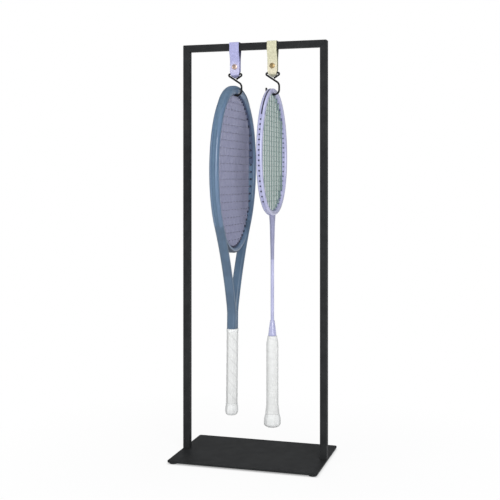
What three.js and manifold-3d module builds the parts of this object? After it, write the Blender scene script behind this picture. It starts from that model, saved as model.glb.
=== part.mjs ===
// A display stand for two rackets, modelled in millimetres with +Z up.
// A flat base plate on rubber feet carries a square tube frame. Two leather straps hang
// from the top bar, each with a press snap and a bent wire hook, and a tennis racket and
// a badminton racket hang by their heads. The origin lies on the table under the middle.
import * as THREE from 'three';
import { mergeVertices } from 'three/addons/utils/BufferGeometryUtils.js';
import Module from 'manifold-3d';

const wasm = await Module();
wasm.setup();

// Fits shared by all pieces.
const seatGap = 0.3;
const cutOverrun = 2;

// Stand. Its height follows from what hangs in it.
const baseWidth = 300;
const baseDepth = 195;
const racketClearance = 55.8;
const plateThickness = 4;
const plateCornerRadius = 4;
const plateEdgeChamfer = 0.5;
const footDiameter = 16;
const footHeight = 2.7;
const footEdgeChamfer = 0.8;
const footInset = 10;
const tubeSize = 14;
const tubeWall = 1.5;
const tubeCornerRadius = 1.2;
const frameCornerRadius = 2.2;
const plugLength = 14;
const screwDiameter = 5;
const screwLength = 15;
const screwHeadDiameter = 10;
const screwHeadRecess = 0.3;
const screwSocketWidth = 3;
const screwSocketDepth = 1.8;
const screwTipShare = 0.8;

// Straps and snaps.
const leftHangerX = -40;
const rightHangerX = 38.5;
const strapWidth = 20;
const strapThickness = 2;
const strapBendRadius = 1.2;
const strapLength = 47.5;
const strapFoldTaper = 6;
const snapRise = 14;
const snapHoleDiameter = 3;
const snapStemDiameter = 2.4;
const snapCapDiameter = 11;
const snapCapDome = 2;
const snapCapRim = 0.8;
const snapSocketDiameter = 9.4;
const snapSocketHeight = 2.1;
const snapSocketFloor = 0.5;
const snapStudDiameter = 4.4;
const snapStudRise = 1.5;
const snapFlangeDiameter = 8;
const snapFlangeThickness = 0.6;
const snapDomeShares = [[0.55, 0.12], [0.86, 0.38]];
const snapRimShare = 0.96;
const snapNeckShares = [0.8, 0.9];

// Wire hooks.
const wireDiameter = 3.8;
const hookHeight = 43.3;
const hookSideRoom = 8.9;
const hookTopBend = 2.4;
const hookApexDrop = 12.5;
const hookLoopRoom = 2.15;
const hookNeckBendShare = 0.327;
const hookLoopBendShare = 0.31;
const hookTipShare = 0.385;
const hookJointShare = 0.85;
const hookTipSwell = 0.3;

// Tennis racket. Its plane stands across the bar, turned and leaning a little, and its
// lengths run down from the top of the head's opening.
const tennisOffset = -1;
const tennisTurn = -0.55;
const tennisLean = 0.58;
const tennisBeam = 18.5;
const tennisRim = 13;
const tennisSideRound = 5.5;
const tennisGrooveWidth = 5.2;
const tennisGrooveDepth = 3;
const tennisHeadWidth = 260;
const tennisTopRadius = 150.5;
const tennisLowRadius = 158.5;
const tennisTopFullness = 2.12;
const tennisLowFullness = 2;
const tennisThroatLength = 132.8;
const tennisShaftLength = 32;
const tennisShaftWidth = 25.6;
const tennisLegSpread = 14.8;
const tennisBridgeBeam = 15;
const tennisBridgeRim = 10;
const guardThickness = 3.9;
const guardWidth = 17.6;
const tennisMainCount = 16;
const tennisMainSpreadShare = 0.808;
const tennisCrossCount = 19;
const tennisCrossSpreadShare = 0.897;
const tennisFirstCrossShare = 0.0447;
const tennisStringDiameter = 1.36;
const tennisGripLength = 150.4;
const tennisButtLength = 22.9;
const tennisGripWidth = 27;
const tennisGripDepth = 21.3;
const gripThickness = 1.7;
const tennisTangWidth = 17;
const tennisTangShort = 7;
const palletInsert = 12.3;
const collarLength = 6;
const collarThickness = 0.6;
const tennisButtWidth = 31;
const tennisButtShares = [0.15, 0.42, 0.75];

// Badminton racket. Its plane stands square across the bar.
const badmintonOffset = -0.8;
const badmintonBeam = 12;
const badmintonRim = 9.6;
const badmintonSideRound = 3.4;
const badmintonGrooveWidth = 3.4;
const badmintonGrooveDepth = 2.2;
const badmintonHeadWidth = 201;
const badmintonTopRadius = 124;
const badmintonLowRadius = 111;
const badmintonTopFullness = 2;
const badmintonLowFullness = 2.15;
const badmintonMainCount = 18;
const badmintonMainSpreadShare = 0.879;
const badmintonCrossCount = 17;
const badmintonCrossSpreadShare = 0.858;
const badmintonFirstCrossShare = 0.0511;
const badmintonStringDiameter = 0.72;
const jointWidth = 28;
const jointLength = 23.2;
const jointNeckDiameter = 10;
const jointSpreadShares = [0.1, 1.5];
const jointInsert = 18;
const shaftDiameter = 7;
const shaftLength = 186;
const shaftInsert = 65;
const coneLength = 30.7;
const coneTopDiameter = 9;
const coneBottomDiameter = 16.6;
const coneSwellShare = 0.53;
const badmintonGripLength = 155.4;
const badmintonShoulderLength = 17.4;
const badmintonGripNeckDiameter = 18.6;
const badmintonGripDiameter = 23.2;
const badmintonGripEndDiameter = 26.8;
const badmintonFlareLength = 14.4;
const badmintonFlareSwellShare = 1.04;
const badmintonButtLength = 26.1;
const badmintonButtDiameter = 32.2;
const badmintonCoreInsert = 11.3;
const badmintonButtShares = [[0.62, 0.03], [0.95, 0.14], [1, 0.35], [0.98, 0.7]];

// Counts of facets.
const roundSides = 14;
const wireSides = 8;
const stringSides = 3;
const handleSides = 8;
const cornerSteps = 3;

const up = new THREE.Vector3(0, 0, 1);

function merged(geometry) {
  const bare = geometry.index ? geometry.toNonIndexed() : geometry.clone();
  bare.deleteAttribute('normal');
  bare.deleteAttribute('uv');
  const joined = mergeVertices(bare);
  const old = joined.index.array;
  const kept = [];
  for (let i = 0; i < old.length; i += 3) {
    const [a, b, c] = [old[i], old[i + 1], old[i + 2]];
    if (a !== b && b !== c && c !== a) kept.push(a, b, c);
  }
  joined.setIndex(kept);
  return signedVolume(joined) < 0 ? turnedOut(joined) : joined;
}

function signedVolume(geometry) {
  const corners = [new THREE.Vector3(), new THREE.Vector3(), new THREE.Vector3()];
  let total = 0;
  for (let i = 0; i < geometry.index.count; i += 3) {
    corners.forEach((corner, k) => {
      corner.fromBufferAttribute(geometry.attributes.position, geometry.index.getX(i + k));
    });
    total += corners[0].dot(corners[1].clone().cross(corners[2]));
  }
  return total;
}

function turnedOut(geometry) {
  const flipped = [];
  for (let i = 0; i < geometry.index.count; i += 3) {
    const at = (k) => geometry.index.getX(i + k);
    flipped.push(at(0), at(2), at(1));
  }
  geometry.setIndex(flipped);
  return geometry;
}

function toSolid(geometry) {
  const ready = merged(geometry);
  return new wasm.Manifold(new wasm.Mesh({
    numProp: 3,
    vertProperties: new Float32Array(ready.attributes.position.array),
    triVerts: new Uint32Array(ready.index.array),
  }));
}

function toGeometry(solid) {
  const mesh = solid.getMesh();
  const geometry = new THREE.BufferGeometry();
  geometry.setAttribute('position', new THREE.BufferAttribute(mesh.vertProperties, mesh.numProp));
  geometry.setIndex(new THREE.BufferAttribute(mesh.triVerts, 1));
  return geometry;
}

function cut(geometry, tools) {
  const body = tools.reduce((rest, tool) => rest.subtract(toSolid(tool)), toSolid(geometry));
  return toGeometry(withoutSpecks(body));
}

// Cuts that only just cross can leave a speck behind; the piece itself is the largest body.
function withoutSpecks(body) {
  return body.decompose().reduce((kept, part) => (part.volume() > kept.volume() ? part : kept));
}

function join(geometries) {
  return toGeometry(geometries.map(toSolid).reduce((body, other) => body.add(other)));
}

function common(geometry, region) {
  return toGeometry(toSolid(geometry).intersect(toSolid(region)));
}

// A flat outline given thickness, centred on its own plane.
function prism(shape, depth, curveSegments = cornerSteps) {
  const options = { depth, bevelEnabled: false, curveSegments };
  return new THREE.ExtrudeGeometry(shape, options).translate(0, 0, -depth / 2);
}

// Outlines drawn in the plane across the bar (Y, Z) run along X; those drawn in the
// plane of the frame (X, Z) run along Y.
function alongX(geometry) {
  const axes = new THREE.Matrix4().makeBasis(
    new THREE.Vector3(0, 1, 0), up, new THREE.Vector3(1, 0, 0));
  return geometry.applyMatrix4(axes);
}

function alongY(geometry) {
  return geometry.rotateX(Math.PI / 2);
}

function outline(points) {
  return new THREE.Shape(points.map(([x, y]) => new THREE.Vector2(x, y)));
}

function roundedRectangle(width, height, radius) {
  const [x, y] = [width / 2 - radius, height / 2 - radius];
  const shape = new THREE.Shape();
  shape.absarc(x, y, radius, 0, Math.PI / 2);
  shape.absarc(-x, y, radius, Math.PI / 2, Math.PI);
  shape.absarc(-x, -y, radius, Math.PI, 1.5 * Math.PI);
  shape.absarc(x, -y, radius, 1.5 * Math.PI, 2 * Math.PI);
  return shape;
}

function polygonShape(radius, sides) {
  return outline(Array.from({ length: sides }, (_, i) => {
    const angle = (i / sides) * 2 * Math.PI;
    return [radius * Math.cos(angle), radius * Math.sin(angle)];
  }));
}

// A path whose rings fall exactly on its points.
class PointPath extends THREE.Curve {
  constructor(points) {
    super();
    this.points = points;
  }

  getPoint(t, target = new THREE.Vector3()) {
    const place = t * (this.points.length - 1);
    const index = Math.min(Math.floor(place), this.points.length - 2);
    return target.lerpVectors(this.points[index], this.points[index + 1], place - index);
  }

  getUtoTmapping(u) {
    return u;
  }

  getTangent(t, target = new THREE.Vector3()) {
    const last = this.points.length - 1;
    const place = Math.round(t * last);
    const here = this.points[place];
    const arriving = here.clone().sub(this.points[Math.max(place - 1, 0)]).normalize();
    const leaving = this.points[Math.min(place + 1, last)].clone().sub(here).normalize();
    return target.copy(arriving).add(leaving).normalize();
  }
}

function sweep(shape, points) {
  const extrudePath = new PointPath(points);
  return new THREE.ExtrudeGeometry(shape, { steps: points.length - 1, extrudePath });
}

function turning(profile, sides = roundSides, start = 0) {
  const points = profile.map(([radius, height]) => new THREE.Vector2(radius, height));
  return new THREE.LatheGeometry(points, sides, start);
}

function upright(geometry) {
  return geometry.rotateX(Math.PI / 2);
}

// Corner points of a path, each rounded to its own radius.
function roundedPath(corners, stepAngle = Math.PI / 10) {
  const path = [corners[0].point];
  for (let i = 1; i < corners.length - 1; i += 1) {
    path.push(...bend(corners[i - 1].point, corners[i], corners[i + 1].point, stepAngle));
  }
  path.push(corners[corners.length - 1].point);
  return path;
}

function bend(before, { point, radius }, after, stepAngle) {
  const arriving = point.clone().sub(before).normalize();
  const leaving = after.clone().sub(point).normalize();
  const turn = arriving.angleTo(leaving);
  const reach = radius * Math.tan(turn / 2);
  const side = leaving.clone().addScaledVector(arriving, -arriving.dot(leaving)).normalize();
  const start = point.clone().addScaledVector(arriving, -reach);
  const steps = Math.max(2, Math.round(turn / stepAngle));
  return Array.from({ length: steps + 1 }, (_, i) => {
    const angle = (turn * i) / steps;
    return start.clone()
      .addScaledVector(arriving, radius * Math.sin(angle))
      .addScaledVector(side, radius * (1 - Math.cos(angle)));
  });
}

function finish(color, roughness, metalness = 0) {
  return new THREE.MeshStandardMaterial({ color, roughness, metalness });
}

function piece(name, geometry, material) {
  const body = merged(geometry);
  body.computeVertexNormals();
  const mesh = new THREE.Mesh(body, material);
  mesh.name = name;
  return mesh;
}

// The stand.

const plateBottom = footHeight + seatGap;
const plateTop = plateBottom + plateThickness;
const rimSeat = wireDiameter / 2 + seatGap;
const hookSeatHeight = plateTop + racketClearance + Math.max(tennisReach(), badmintonReach());
const hookTopHeight = hookSeatHeight + hookHeight;
const barBottom = hookTopHeight + strapLength;
const overallHeight = barBottom + tubeSize;
const postBottom = plateTop + seatGap;
const postX = baseWidth / 2 - tubeSize / 2;

const powderCoat = () => finish(0x343434, 0.55, 0.2);
const rubber = () => finish(0x1c1c1c, 0.9);
const zincPlate = () => finish(0xb8babd, 0.35, 0.9);

// How far each racket reaches below the wire it hangs on.
function tennisReach() {
  const head = tennisTopRadius + tennisLowRadius - rimSeat;
  const handle = tennisShaftLength + tennisGripLength + seatGap + tennisButtLength;
  return head + tennisThroatLength + handle;
}

function badmintonReach() {
  const head = badmintonTopRadius + badmintonLowRadius + badmintonRim - rimSeat;
  const shaftPart = jointLength + shaftLength + coneLength + seatGap;
  return head + shaftPart + badmintonGripLength + seatGap + badmintonButtLength;
}

function screwPlaces() {
  return [-postX, postX];
}

function basePlate() {
  const flat = roundedRectangle(
    baseWidth - 2 * plateEdgeChamfer, baseDepth - 2 * plateEdgeChamfer, plateCornerRadius);
  const plate = new THREE.ExtrudeGeometry(flat, {
    depth: plateThickness - 2 * plateEdgeChamfer,
    bevelThickness: plateEdgeChamfer,
    bevelSize: plateEdgeChamfer,
    bevelSegments: 1,
    curveSegments: 6,
  }).translate(0, 0, plateBottom + plateEdgeChamfer);
  return cut(plate, screwPlaces().map((x) => screwCut().translate(x, 0, 0)));
}

function screwCut() {
  const hole = screwDiameter / 2 + seatGap;
  const head = screwHeadDiameter / 2 + seatGap;
  const seat = plateBottom + screwHeadRecess + seatGap;
  return upright(turning([
    [0, plateBottom - cutOverrun],
    [head, plateBottom - cutOverrun],
    [head, seat],
    [hole, seat + head - hole],
    [hole, plateTop + cutOverrun],
    [0, plateTop + cutOverrun],
  ]));
}

function baseScrew() {
  const shank = screwDiameter / 2;
  const head = screwHeadDiameter / 2;
  const face = plateBottom + screwHeadRecess;
  const screw = upright(turning([
    [0, face],
    [head, face],
    [shank, face + head - shank],
    [shank, face + screwLength - screwSocketDepth / 2],
    [shank * screwTipShare, face + screwLength],
    [0, face + screwLength],
  ]));
  const socket = prism(polygonShape(screwSocketWidth / Math.sqrt(3), 6), 2 * screwSocketDepth);
  return cut(screw, [socket.translate(0, 0, face)]);
}

function foot() {
  const radius = footDiameter / 2;
  return upright(turning([
    [0, 0],
    [radius - footEdgeChamfer, 0],
    [radius, footEdgeChamfer],
    [radius, footHeight],
    [0, footHeight],
  ]));
}

function squareTube(length) {
  const section = roundedRectangle(tubeSize, tubeSize, tubeCornerRadius);
  section.holes.push(roundedRectangle(
    tubeSize - 2 * tubeWall, tubeSize - 2 * tubeWall, tubeCornerRadius / 2));
  return prism(section, length);
}

// The frame's outer edge with its softened top corners, as a slab to keep pieces within.
function frameSlab() {
  const [half, radius] = [baseWidth / 2, frameCornerRadius];
  const edge = new THREE.Shape();
  edge.moveTo(-half, 0);
  edge.lineTo(half, 0);
  edge.absarc(half - radius, overallHeight - radius, radius, 0, Math.PI / 2);
  edge.absarc(-half + radius, overallHeight - radius, radius, Math.PI / 2, Math.PI);
  return alongY(prism(edge, 2 * tubeSize, cornerSteps));
}

// Everything past a corner's mitre: over the line for a post, under it for the bar.
function mitreTool(side, direction) {
  const middle = new THREE.Vector2(postX, overallHeight - tubeSize / 2);
  const reach = tubeSize + cutOverrun;
  const slack = (direction * seatGap) / 2 / Math.SQRT2;
  const line = [[-reach, -reach], [reach, reach], [direction * reach, -direction * reach]];
  const points = line.map(([x, z]) => [
    side * (middle.x + x - slack), middle.y + z + slack,
  ]);
  return alongY(prism(outline(points), 2 * tubeSize));
}

function post(side) {
  const length = overallHeight - postBottom;
  const tube = squareTube(length).translate(side * postX, 0, postBottom + length / 2);
  return common(cut(tube, [mitreTool(side, -1)]), frameSlab());
}

function topBar() {
  const height = overallHeight - tubeSize / 2;
  const tube = alongX(squareTube(baseWidth)).translate(0, 0, height);
  return common(cut(tube, [mitreTool(-1, 1), mitreTool(1, 1)]), frameSlab());
}

function postPlug() {
  const width = tubeSize - 2 * tubeWall - 2 * seatGap;
  const section = roundedRectangle(width, width, tubeCornerRadius / 2);
  section.holes.push(polygonShape(screwDiameter / 2 + seatGap, roundSides));
  return prism(section, plugLength).translate(0, 0, postBottom + plugLength / 2);
}

function stand() {
  const group = new THREE.Group();
  group.add(piece('base_plate', basePlate(), powderCoat()));
  group.add(piece('left_post', post(-1), powderCoat()));
  group.add(piece('right_post', post(1), powderCoat()));
  group.add(piece('top_bar', topBar(), powderCoat()));
  for (const [name, x] of [['left', -postX], ['right', postX]]) {
    const plug = piece(`${name}_post_plug`, postPlug(), zincPlate());
    const screw = piece(`${name}_base_screw`, baseScrew(), zincPlate());
    plug.position.x = x;
    screw.position.x = x;
    group.add(plug, screw);
  }
  group.add(...feet());
  return group;
}

function feet() {
  const x = baseWidth / 2 - footInset;
  const y = baseDepth / 2 - footInset;
  const places = { front_left: [-x, -y], front_right: [x, -y], rear_left: [-x, y], rear_right: [x, y] };
  return Object.entries(places).map(([name, [footX, footY]]) => {
    const pad = piece(`${name}_foot`, foot(), rubber());
    pad.position.set(footX, footY, 0);
    return pad;
  });
}

// The hangers, each a strap, a snap and a hook.

const hookTopWidth = strapWidth + 2 * hookSideRoom;
const hookLoopWidth = tennisBeam + wireDiameter + 2 * hookLoopRoom;
const hookSlope = hookApexDrop / (hookTopWidth / 2);
const hookSlant = Math.hypot(1, hookSlope);
const strapFrontY = -(wireDiameter / 2 + seatGap + strapThickness / 2);
const strapReturnY = strapFrontY + strapThickness + seatGap;
const snapStack = snapSocketHeight + snapFlangeThickness + 3 * seatGap;
const strapTailY = strapReturnY + strapThickness + snapStack;
const snapHeight = hookTopHeight + snapRise;
const strapReturnHeight = snapHeight + snapCapDiameter;
const strapWaistHeight = strapReturnHeight + strapThickness;
const strapTailHeight = snapHeight - snapSocketDiameter;

// The strap's middle line, from its tail behind the snap, up over the bar, down the front,
// round the hook's wire and back up between the two legs.
function strapLine() {
  const side = tubeSize / 2 + seatGap + strapThickness / 2;
  const crown = overallHeight + seatGap + strapThickness / 2;
  const radius = strapBendRadius + strapThickness / 2;
  const fold = -strapFrontY;
  const slack = (barBottom - strapWaistHeight) / 2;
  const line = new THREE.Path();
  line.moveTo(strapTailY, strapTailHeight);
  line.lineTo(strapTailY, strapWaistHeight);
  line.bezierCurveTo(
    strapTailY, strapWaistHeight + slack, side, barBottom - slack, side, barBottom);
  line.absarc(side - radius, crown - radius, radius, 0, Math.PI / 2);
  line.absarc(-side + radius, crown - radius, radius, Math.PI / 2, Math.PI);
  line.lineTo(-side, barBottom);
  line.bezierCurveTo(
    -side, barBottom - slack, strapFrontY, strapWaistHeight + slack, strapFrontY, strapWaistHeight);
  line.absarc(0, hookTopHeight, fold, Math.PI, 2 * Math.PI);
  line.lineTo(fold, hookTopHeight + strapThickness);
  const bendTop = snapHeight - snapSocketDiameter / 2 - seatGap;
  const bendMiddle = (hookTopHeight + strapThickness + bendTop) / 2;
  line.bezierCurveTo(fold, bendMiddle, strapReturnY, bendMiddle, strapReturnY, bendTop);
  line.lineTo(strapReturnY, strapReturnHeight);
  return line.getPoints(5);
}

function ribbon(line, thickness) {
  const sides = [[], []];
  line.forEach((point, i) => {
    const arriving = point.clone().sub(line[Math.max(i - 1, 0)]).normalize();
    const leaving = line[Math.min(i + 1, line.length - 1)].clone().sub(point).normalize();
    const along = arriving.clone().add(leaving).normalize();
    const normal = new THREE.Vector2(-along.y, along.x);
    const straight = i > 0 && i < line.length - 1 ? normal.dot(arriving.clone().rotateAround(
      new THREE.Vector2(), Math.PI / 2)) : 1;
    const reach = thickness / 2 / straight;
    sides[0].push(point.clone().addScaledVector(normal, reach));
    sides[1].unshift(point.clone().addScaledVector(normal, -reach));
  });
  return new THREE.Shape([...sides[0], ...sides[1]]);
}

function strap() {
  const strip = alongX(prism(ribbon(strapLine(), strapThickness), strapWidth));
  const length = 2 * (tubeSize + strapThickness);
  const hole = turning([
    [0, -length], [snapHoleDiameter / 2, -length], [snapHoleDiameter / 2, length], [0, length],
  ]);
  return cut(strip, [
    hole.translate(0, 0, snapHeight), foldCorner(1, length), foldCorner(-1, length),
  ]);
}

// The strap narrows where it folds round the wire, clear of the hook's sloping sides.
function foldCorner(side, length) {
  const foldDepth = strapThickness - strapFrontY + strapThickness / 2;
  const room = hookApexDrop - (wireDiameter / 2) * hookSlant - foldDepth + strapThickness;
  const fold = (room - seatGap) / hookSlope;
  const edge = strapWidth / 2 + cutOverrun;
  const rise = (strapFoldTaper * (edge - fold)) / (strapWidth / 2 - fold);
  const low = hookTopHeight - tubeSize;
  const start = hookTopHeight - strapThickness;
  const corner = [[fold, low], [edge, low], [edge, start + rise], [fold, start]];
  return alongY(prism(outline(corner.map(([x, z]) => [side * x, z])), length));
}

function snapCap() {
  const back = strapFrontY - strapThickness / 2 - seatGap;
  const front = back - snapCapDome;
  const [rim, stem] = [snapCapDiameter / 2, snapStemDiameter / 2];
  const stemEnd = strapReturnY + strapThickness / 2 + seatGap + snapSocketFloor / 2;
  return turning([
    [0, front],
    ...snapDomeShares.map(([out, back]) => [rim * out, front + snapCapDome * back]),
    [rim, back - snapCapRim],
    [rim * snapRimShare, back],
    [stem, back],
    [stem, stemEnd],
    [0, stemEnd],
  ], roundSides + 2);
}

function snapSocket() {
  const back = strapReturnY + strapThickness / 2 + seatGap;
  const front = back + snapSocketHeight;
  const well = snapStudDiameter / 2 + seatGap;
  const bore = snapHoleDiameter / 2;
  return turning([
    [bore, back],
    [snapSocketDiameter / 2, back],
    [snapSocketDiameter / 2, front - snapSocketFloor],
    [snapSocketDiameter / 2 - snapSocketFloor, front],
    [well, front],
    [well, back + snapSocketFloor],
    [bore, back + snapSocketFloor],
    [bore, back],
  ]);
}

function snapStud() {
  const back = strapTailY - strapThickness / 2 - seatGap;
  const front = back - snapFlangeThickness;
  const bore = snapStemDiameter / 2 + seatGap;
  const tip = front - snapStudRise;
  const stud = snapStudDiameter / 2;
  return turning([
    [0, tip],
    [stud * snapNeckShares[0], tip],
    [stud, tip + snapStudRise / 3],
    [stud * snapNeckShares[1], front],
    [snapFlangeDiameter / 2, front],
    [snapFlangeDiameter / 2, back],
    [bore, back],
    [bore, tip + snapFlangeThickness],
    [0, tip + snapFlangeThickness],
  ]);
}

function snapPost() {
  const front = strapTailY + strapThickness / 2 + seatGap;
  const stem = snapStemDiameter / 2;
  const stemEnd = strapTailY - strapThickness / 2 - seatGap - snapFlangeThickness;
  const flange = snapFlangeDiameter / 2;
  return turning([
    [0, stemEnd],
    [stem, stemEnd],
    [stem, front],
    [flange, front],
    [flange, front + snapFlangeThickness / 2],
    [flange * snapNeckShares[0], front + snapFlangeThickness],
    [0, front + snapFlangeThickness],
  ]);
}

// One length of wire: up the right side, over the top, down the left side, on through
// the point of the triangle into the open loop that the racket hangs in.
function hookPath() {
  const half = hookTopWidth / 2;
  const loop = hookLoopWidth / 2;
  const place = (x, z, radius = 0) => ({ point: new THREE.Vector3(x, 0, z), radius });
  const apex = hookTopHeight - hookApexDrop;
  const joint = (wireDiameter * hookJointShare) / hookSlant;
  const drop = hookHeight - hookApexDrop;
  return roundedPath([
    place(joint, apex + joint * hookSlope),
    place(half, hookTopHeight, hookTopBend),
    place(-half, hookTopHeight, hookTopBend),
    place(loop, apex - hookSlope * loop, drop * hookNeckBendShare),
    place(loop, hookSeatHeight, drop * hookLoopBendShare),
    place(-loop, hookSeatHeight, drop * hookLoopBendShare),
    place(-loop, hookSeatHeight + drop * hookTipShare),
  ]);
}

function hook() {
  const path = hookPath();
  const wire = sweep(polygonShape(wireDiameter / 2, wireSides), path);
  const bead = new THREE.SphereGeometry(wireDiameter / 2 + hookTipSwell, wireSides, wireSides - 2);
  const tip = path[path.length - 1];
  return join([wire, bead.rotateX(Math.PI / 2).translate(tip.x, tip.y, tip.z)]);
}

function hanger(side, x, looks) {
  const group = new THREE.Group();
  group.position.x = x;
  group.add(piece(`${side}_strap`, strap(), looks.leather));
  const snaps = { cap: snapCap, socket: snapSocket, stud: snapStud, post: snapPost };
  for (const [name, make] of Object.entries(snaps)) {
    const part = piece(`${side}_snap_${name}`, make(), looks.metal.clone());
    part.position.z = snapHeight;
    group.add(part);
  }
  group.add(piece(`${side}_hook`, hook(), finish(0x151515, 0.45, 0.5)));
  return group;
}

// Racket heads and string beds, drawn in the racket's own plane (X, Z).

// An oval whose upper and lower halves have their own height and fullness (2 makes an
// ellipse, more makes it squarer), moved out by offset.
function ovalHalf(head, side, offset) {
  const upper = side >= 0;
  return {
    rise: (upper ? head.topRadius : head.lowRadius) + offset,
    power: upper ? head.topFullness : head.lowFullness,
    reach: head.halfWidth + offset,
  };
}

function ovalPoint(head, angle, offset = 0) {
  const [cosine, sine] = [Math.cos(angle), Math.sin(angle)];
  const { rise, power, reach } = ovalHalf(head, sine, offset);
  const x = Math.sign(cosine) * reach * Math.abs(cosine) ** (2 / power);
  const z = Math.sign(sine) * rise * Math.abs(sine) ** (2 / power);
  return new THREE.Vector3(x, 0, head.middle + z);
}

function ovalHeight(head, x, side, offset) {
  const { rise, power, reach } = ovalHalf(head, side, offset);
  return head.middle + side * rise * (1 - Math.abs(x / reach) ** power) ** (1 / power);
}

function ovalReach(head, z, offset) {
  const { rise, power, reach } = ovalHalf(head, z - head.middle, offset);
  return reach * Math.max(0, 1 - Math.abs((z - head.middle) / rise) ** power) ** (1 / power);
}

function arcPoints(head, from, to, steps) {
  return Array.from({ length: steps + 1 }, (_, i) => ovalPoint(head, from + ((to - from) * i) / steps));
}

// A rim section: rounded sides, with the string groove on the outside (+Y here).
function rimSection({ beam, rim, round, grooveWidth, grooveDepth }) {
  const [side, radial] = [beam / 2, rim / 2];
  const soft = round * (1 - Math.SQRT1_2);
  const half = [
    [side - round, -radial],
    [side - soft, -radial + soft],
    [side, -radial + round],
    [side, radial - round],
    [side - soft * 1.4, radial - soft],
    [grooveWidth * 0.65, radial],
    [grooveWidth / 2, radial - grooveDepth],
  ];
  const mirrored = half.map(([x, y]) => [-x, y]).reverse();
  return outline([...half, ...mirrored].map(([x, y]) => [x, -y]));
}

function mainPlaces(bed) {
  const spread = (2 * bed.head.halfWidth - bed.head.rim) * bed.mainSpreadShare;
  return Array.from({ length: bed.mainCount }, (_, i) => spread * (i / (bed.mainCount - 1) - 1 / 2));
}

function crossPlaces(bed) {
  const height = bed.head.topRadius + bed.head.lowRadius - bed.head.rim;
  const first = bed.head.middle + bed.head.topRadius - bed.head.rim / 2 - height * bed.firstCrossShare;
  const pitch = (height * bed.crossSpreadShare) / (bed.crossCount - 1);
  return Array.from({ length: bed.crossCount }, (_, j) => first - j * pitch);
}

const crossFreeShare = 0.85;

// Strings run outside the rim in two lanes of its groove, the mains in front.
function stringFits(bed) {
  const radius = bed.stringDiameter / 2;
  const lane = radius + 2 * seatGap / 3;
  const weave = 2 * radius + seatGap * 1.15;
  const cutter = radius + 1.5 * seatGap;
  const seat = bed.head.rim / 2 - bed.head.grooveDepth + cutter + seatGap;
  return { radius, lane, weave, cutter, seat };
}

// Each main in turn, up then down, joined outside the rim; the middle pair joins below.
function mainRoute(bed) {
  const { lane, seat } = stringFits(bed);
  const ends = (x, i) => {
    const low = new THREE.Vector3(x, lane, ovalHeight(bed.head, x, -1, seat));
    const high = new THREE.Vector3(x, lane, ovalHeight(bed.head, x, 1, seat));
    return i % 2 === 0 ? [low, high] : [high, low];
  };
  return mainPlaces(bed).map(ends);
}

// Each cross passes over and under the mains and turns back outside the rim.
function crossRoute(bed) {
  const { lane, weave, seat, cutter } = stringFits(bed);
  const places = mainPlaces(bed);
  const reach = places[1] - places[0];
  return crossPlaces(bed).map((z, j) => {
    const wall = ovalReach(bed.head, z, -bed.head.rim / 2) - 2 * cutter;
    const outside = ovalReach(bed.head, z, seat);
    const woven = places
      .map((x, i) => new THREE.Vector3(x, lane + ((i + j) % 2 ? weave : -weave), z))
      .filter((point) => Math.abs(point.x) < wall - reach / 2);
    const last = woven[woven.length - 1].x;
    const free = Math.min(wall, last + reach * crossFreeShare);
    const points = [
      new THREE.Vector3(-outside, -lane, z), new THREE.Vector3(-free, -lane, z),
      ...woven,
      new THREE.Vector3(free, -lane, z), new THREE.Vector3(outside, -lane, z),
    ];
    return j % 2 === 0 ? points : points.reverse();
  });
}

function stringBody(bed, route) {
  return sweep(polygonShape(bed.stringDiameter / 2, stringSides), route.flat());
}

// Straight holes where the strings leave and enter the head, and the runs between them.
function stringHoles(bed, route) {
  const { cutter } = stringFits(bed);
  const shape = polygonShape(cutter, 4);
  const bore = (end, inner) => {
    const inward = inner.clone().sub(end).setY(0).normalize();
    const start = end.clone().addScaledVector(inward, -cutter);
    return sweep(shape, [end.clone().addScaledVector(inward, bed.head.rim * bed.holeReachShare), start]);
  };
  const bores = route.flatMap((run) => [
    bore(run[0], run[run.length - 1]), bore(run[run.length - 1], run[0]),
  ]);
  const turns = route.slice(1).map((run, i) => {
    const before = route[i];
    return sweep(shape, [before[before.length - 1], run[0]]);
  });
  return [...bores, ...turns];
}

// The tennis racket.

const tennisCrotch = rimSeat - tennisTopRadius - tennisLowRadius - tennisThroatLength;
const tennisGripTop = tennisCrotch - tennisShaftLength;
const tennisGripBottom = tennisGripTop - tennisGripLength;
const tennisButtTop = tennisGripBottom - seatGap;
const tennisButtBottom = tennisButtTop - tennisButtLength;
const palletBottom = tennisButtTop - palletInsert;
const tennisHead = {
  middle: rimSeat - tennisTopRadius,
  halfWidth: tennisHeadWidth / 2 - tennisRim / 2,
  topRadius: tennisTopRadius + tennisRim / 2,
  lowRadius: tennisLowRadius + tennisRim / 2,
  topFullness: tennisTopFullness,
  lowFullness: tennisLowFullness,
  rim: tennisRim,
  grooveDepth: tennisGrooveDepth,
};
const tennisBed = {
  head: tennisHead,
  mainCount: tennisMainCount,
  mainSpreadShare: tennisMainSpreadShare,
  crossCount: tennisCrossCount,
  crossSpreadShare: tennisCrossSpreadShare,
  firstCrossShare: tennisFirstCrossShare,
  stringDiameter: tennisStringDiameter,
  holeReachShare: 2.1,
};
const throatAngle = (-42 * Math.PI) / 180;
const throatPullShare = 0.43;
const throatEaseShare = 0.165;
const throatEaseSpreadShare = 1.5;

// From the foot of the left leg, round the head, to the foot of the right leg.
function hairpinPath() {
  const head = arcPoints(tennisHead, throatAngle, Math.PI - throatAngle, 44).reverse();
  const right = throatLeg(head[head.length - 1]);
  const left = right.map((point) => new THREE.Vector3(-point.x, 0, point.z)).reverse();
  return [...left, ...head, ...right];
}

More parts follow.
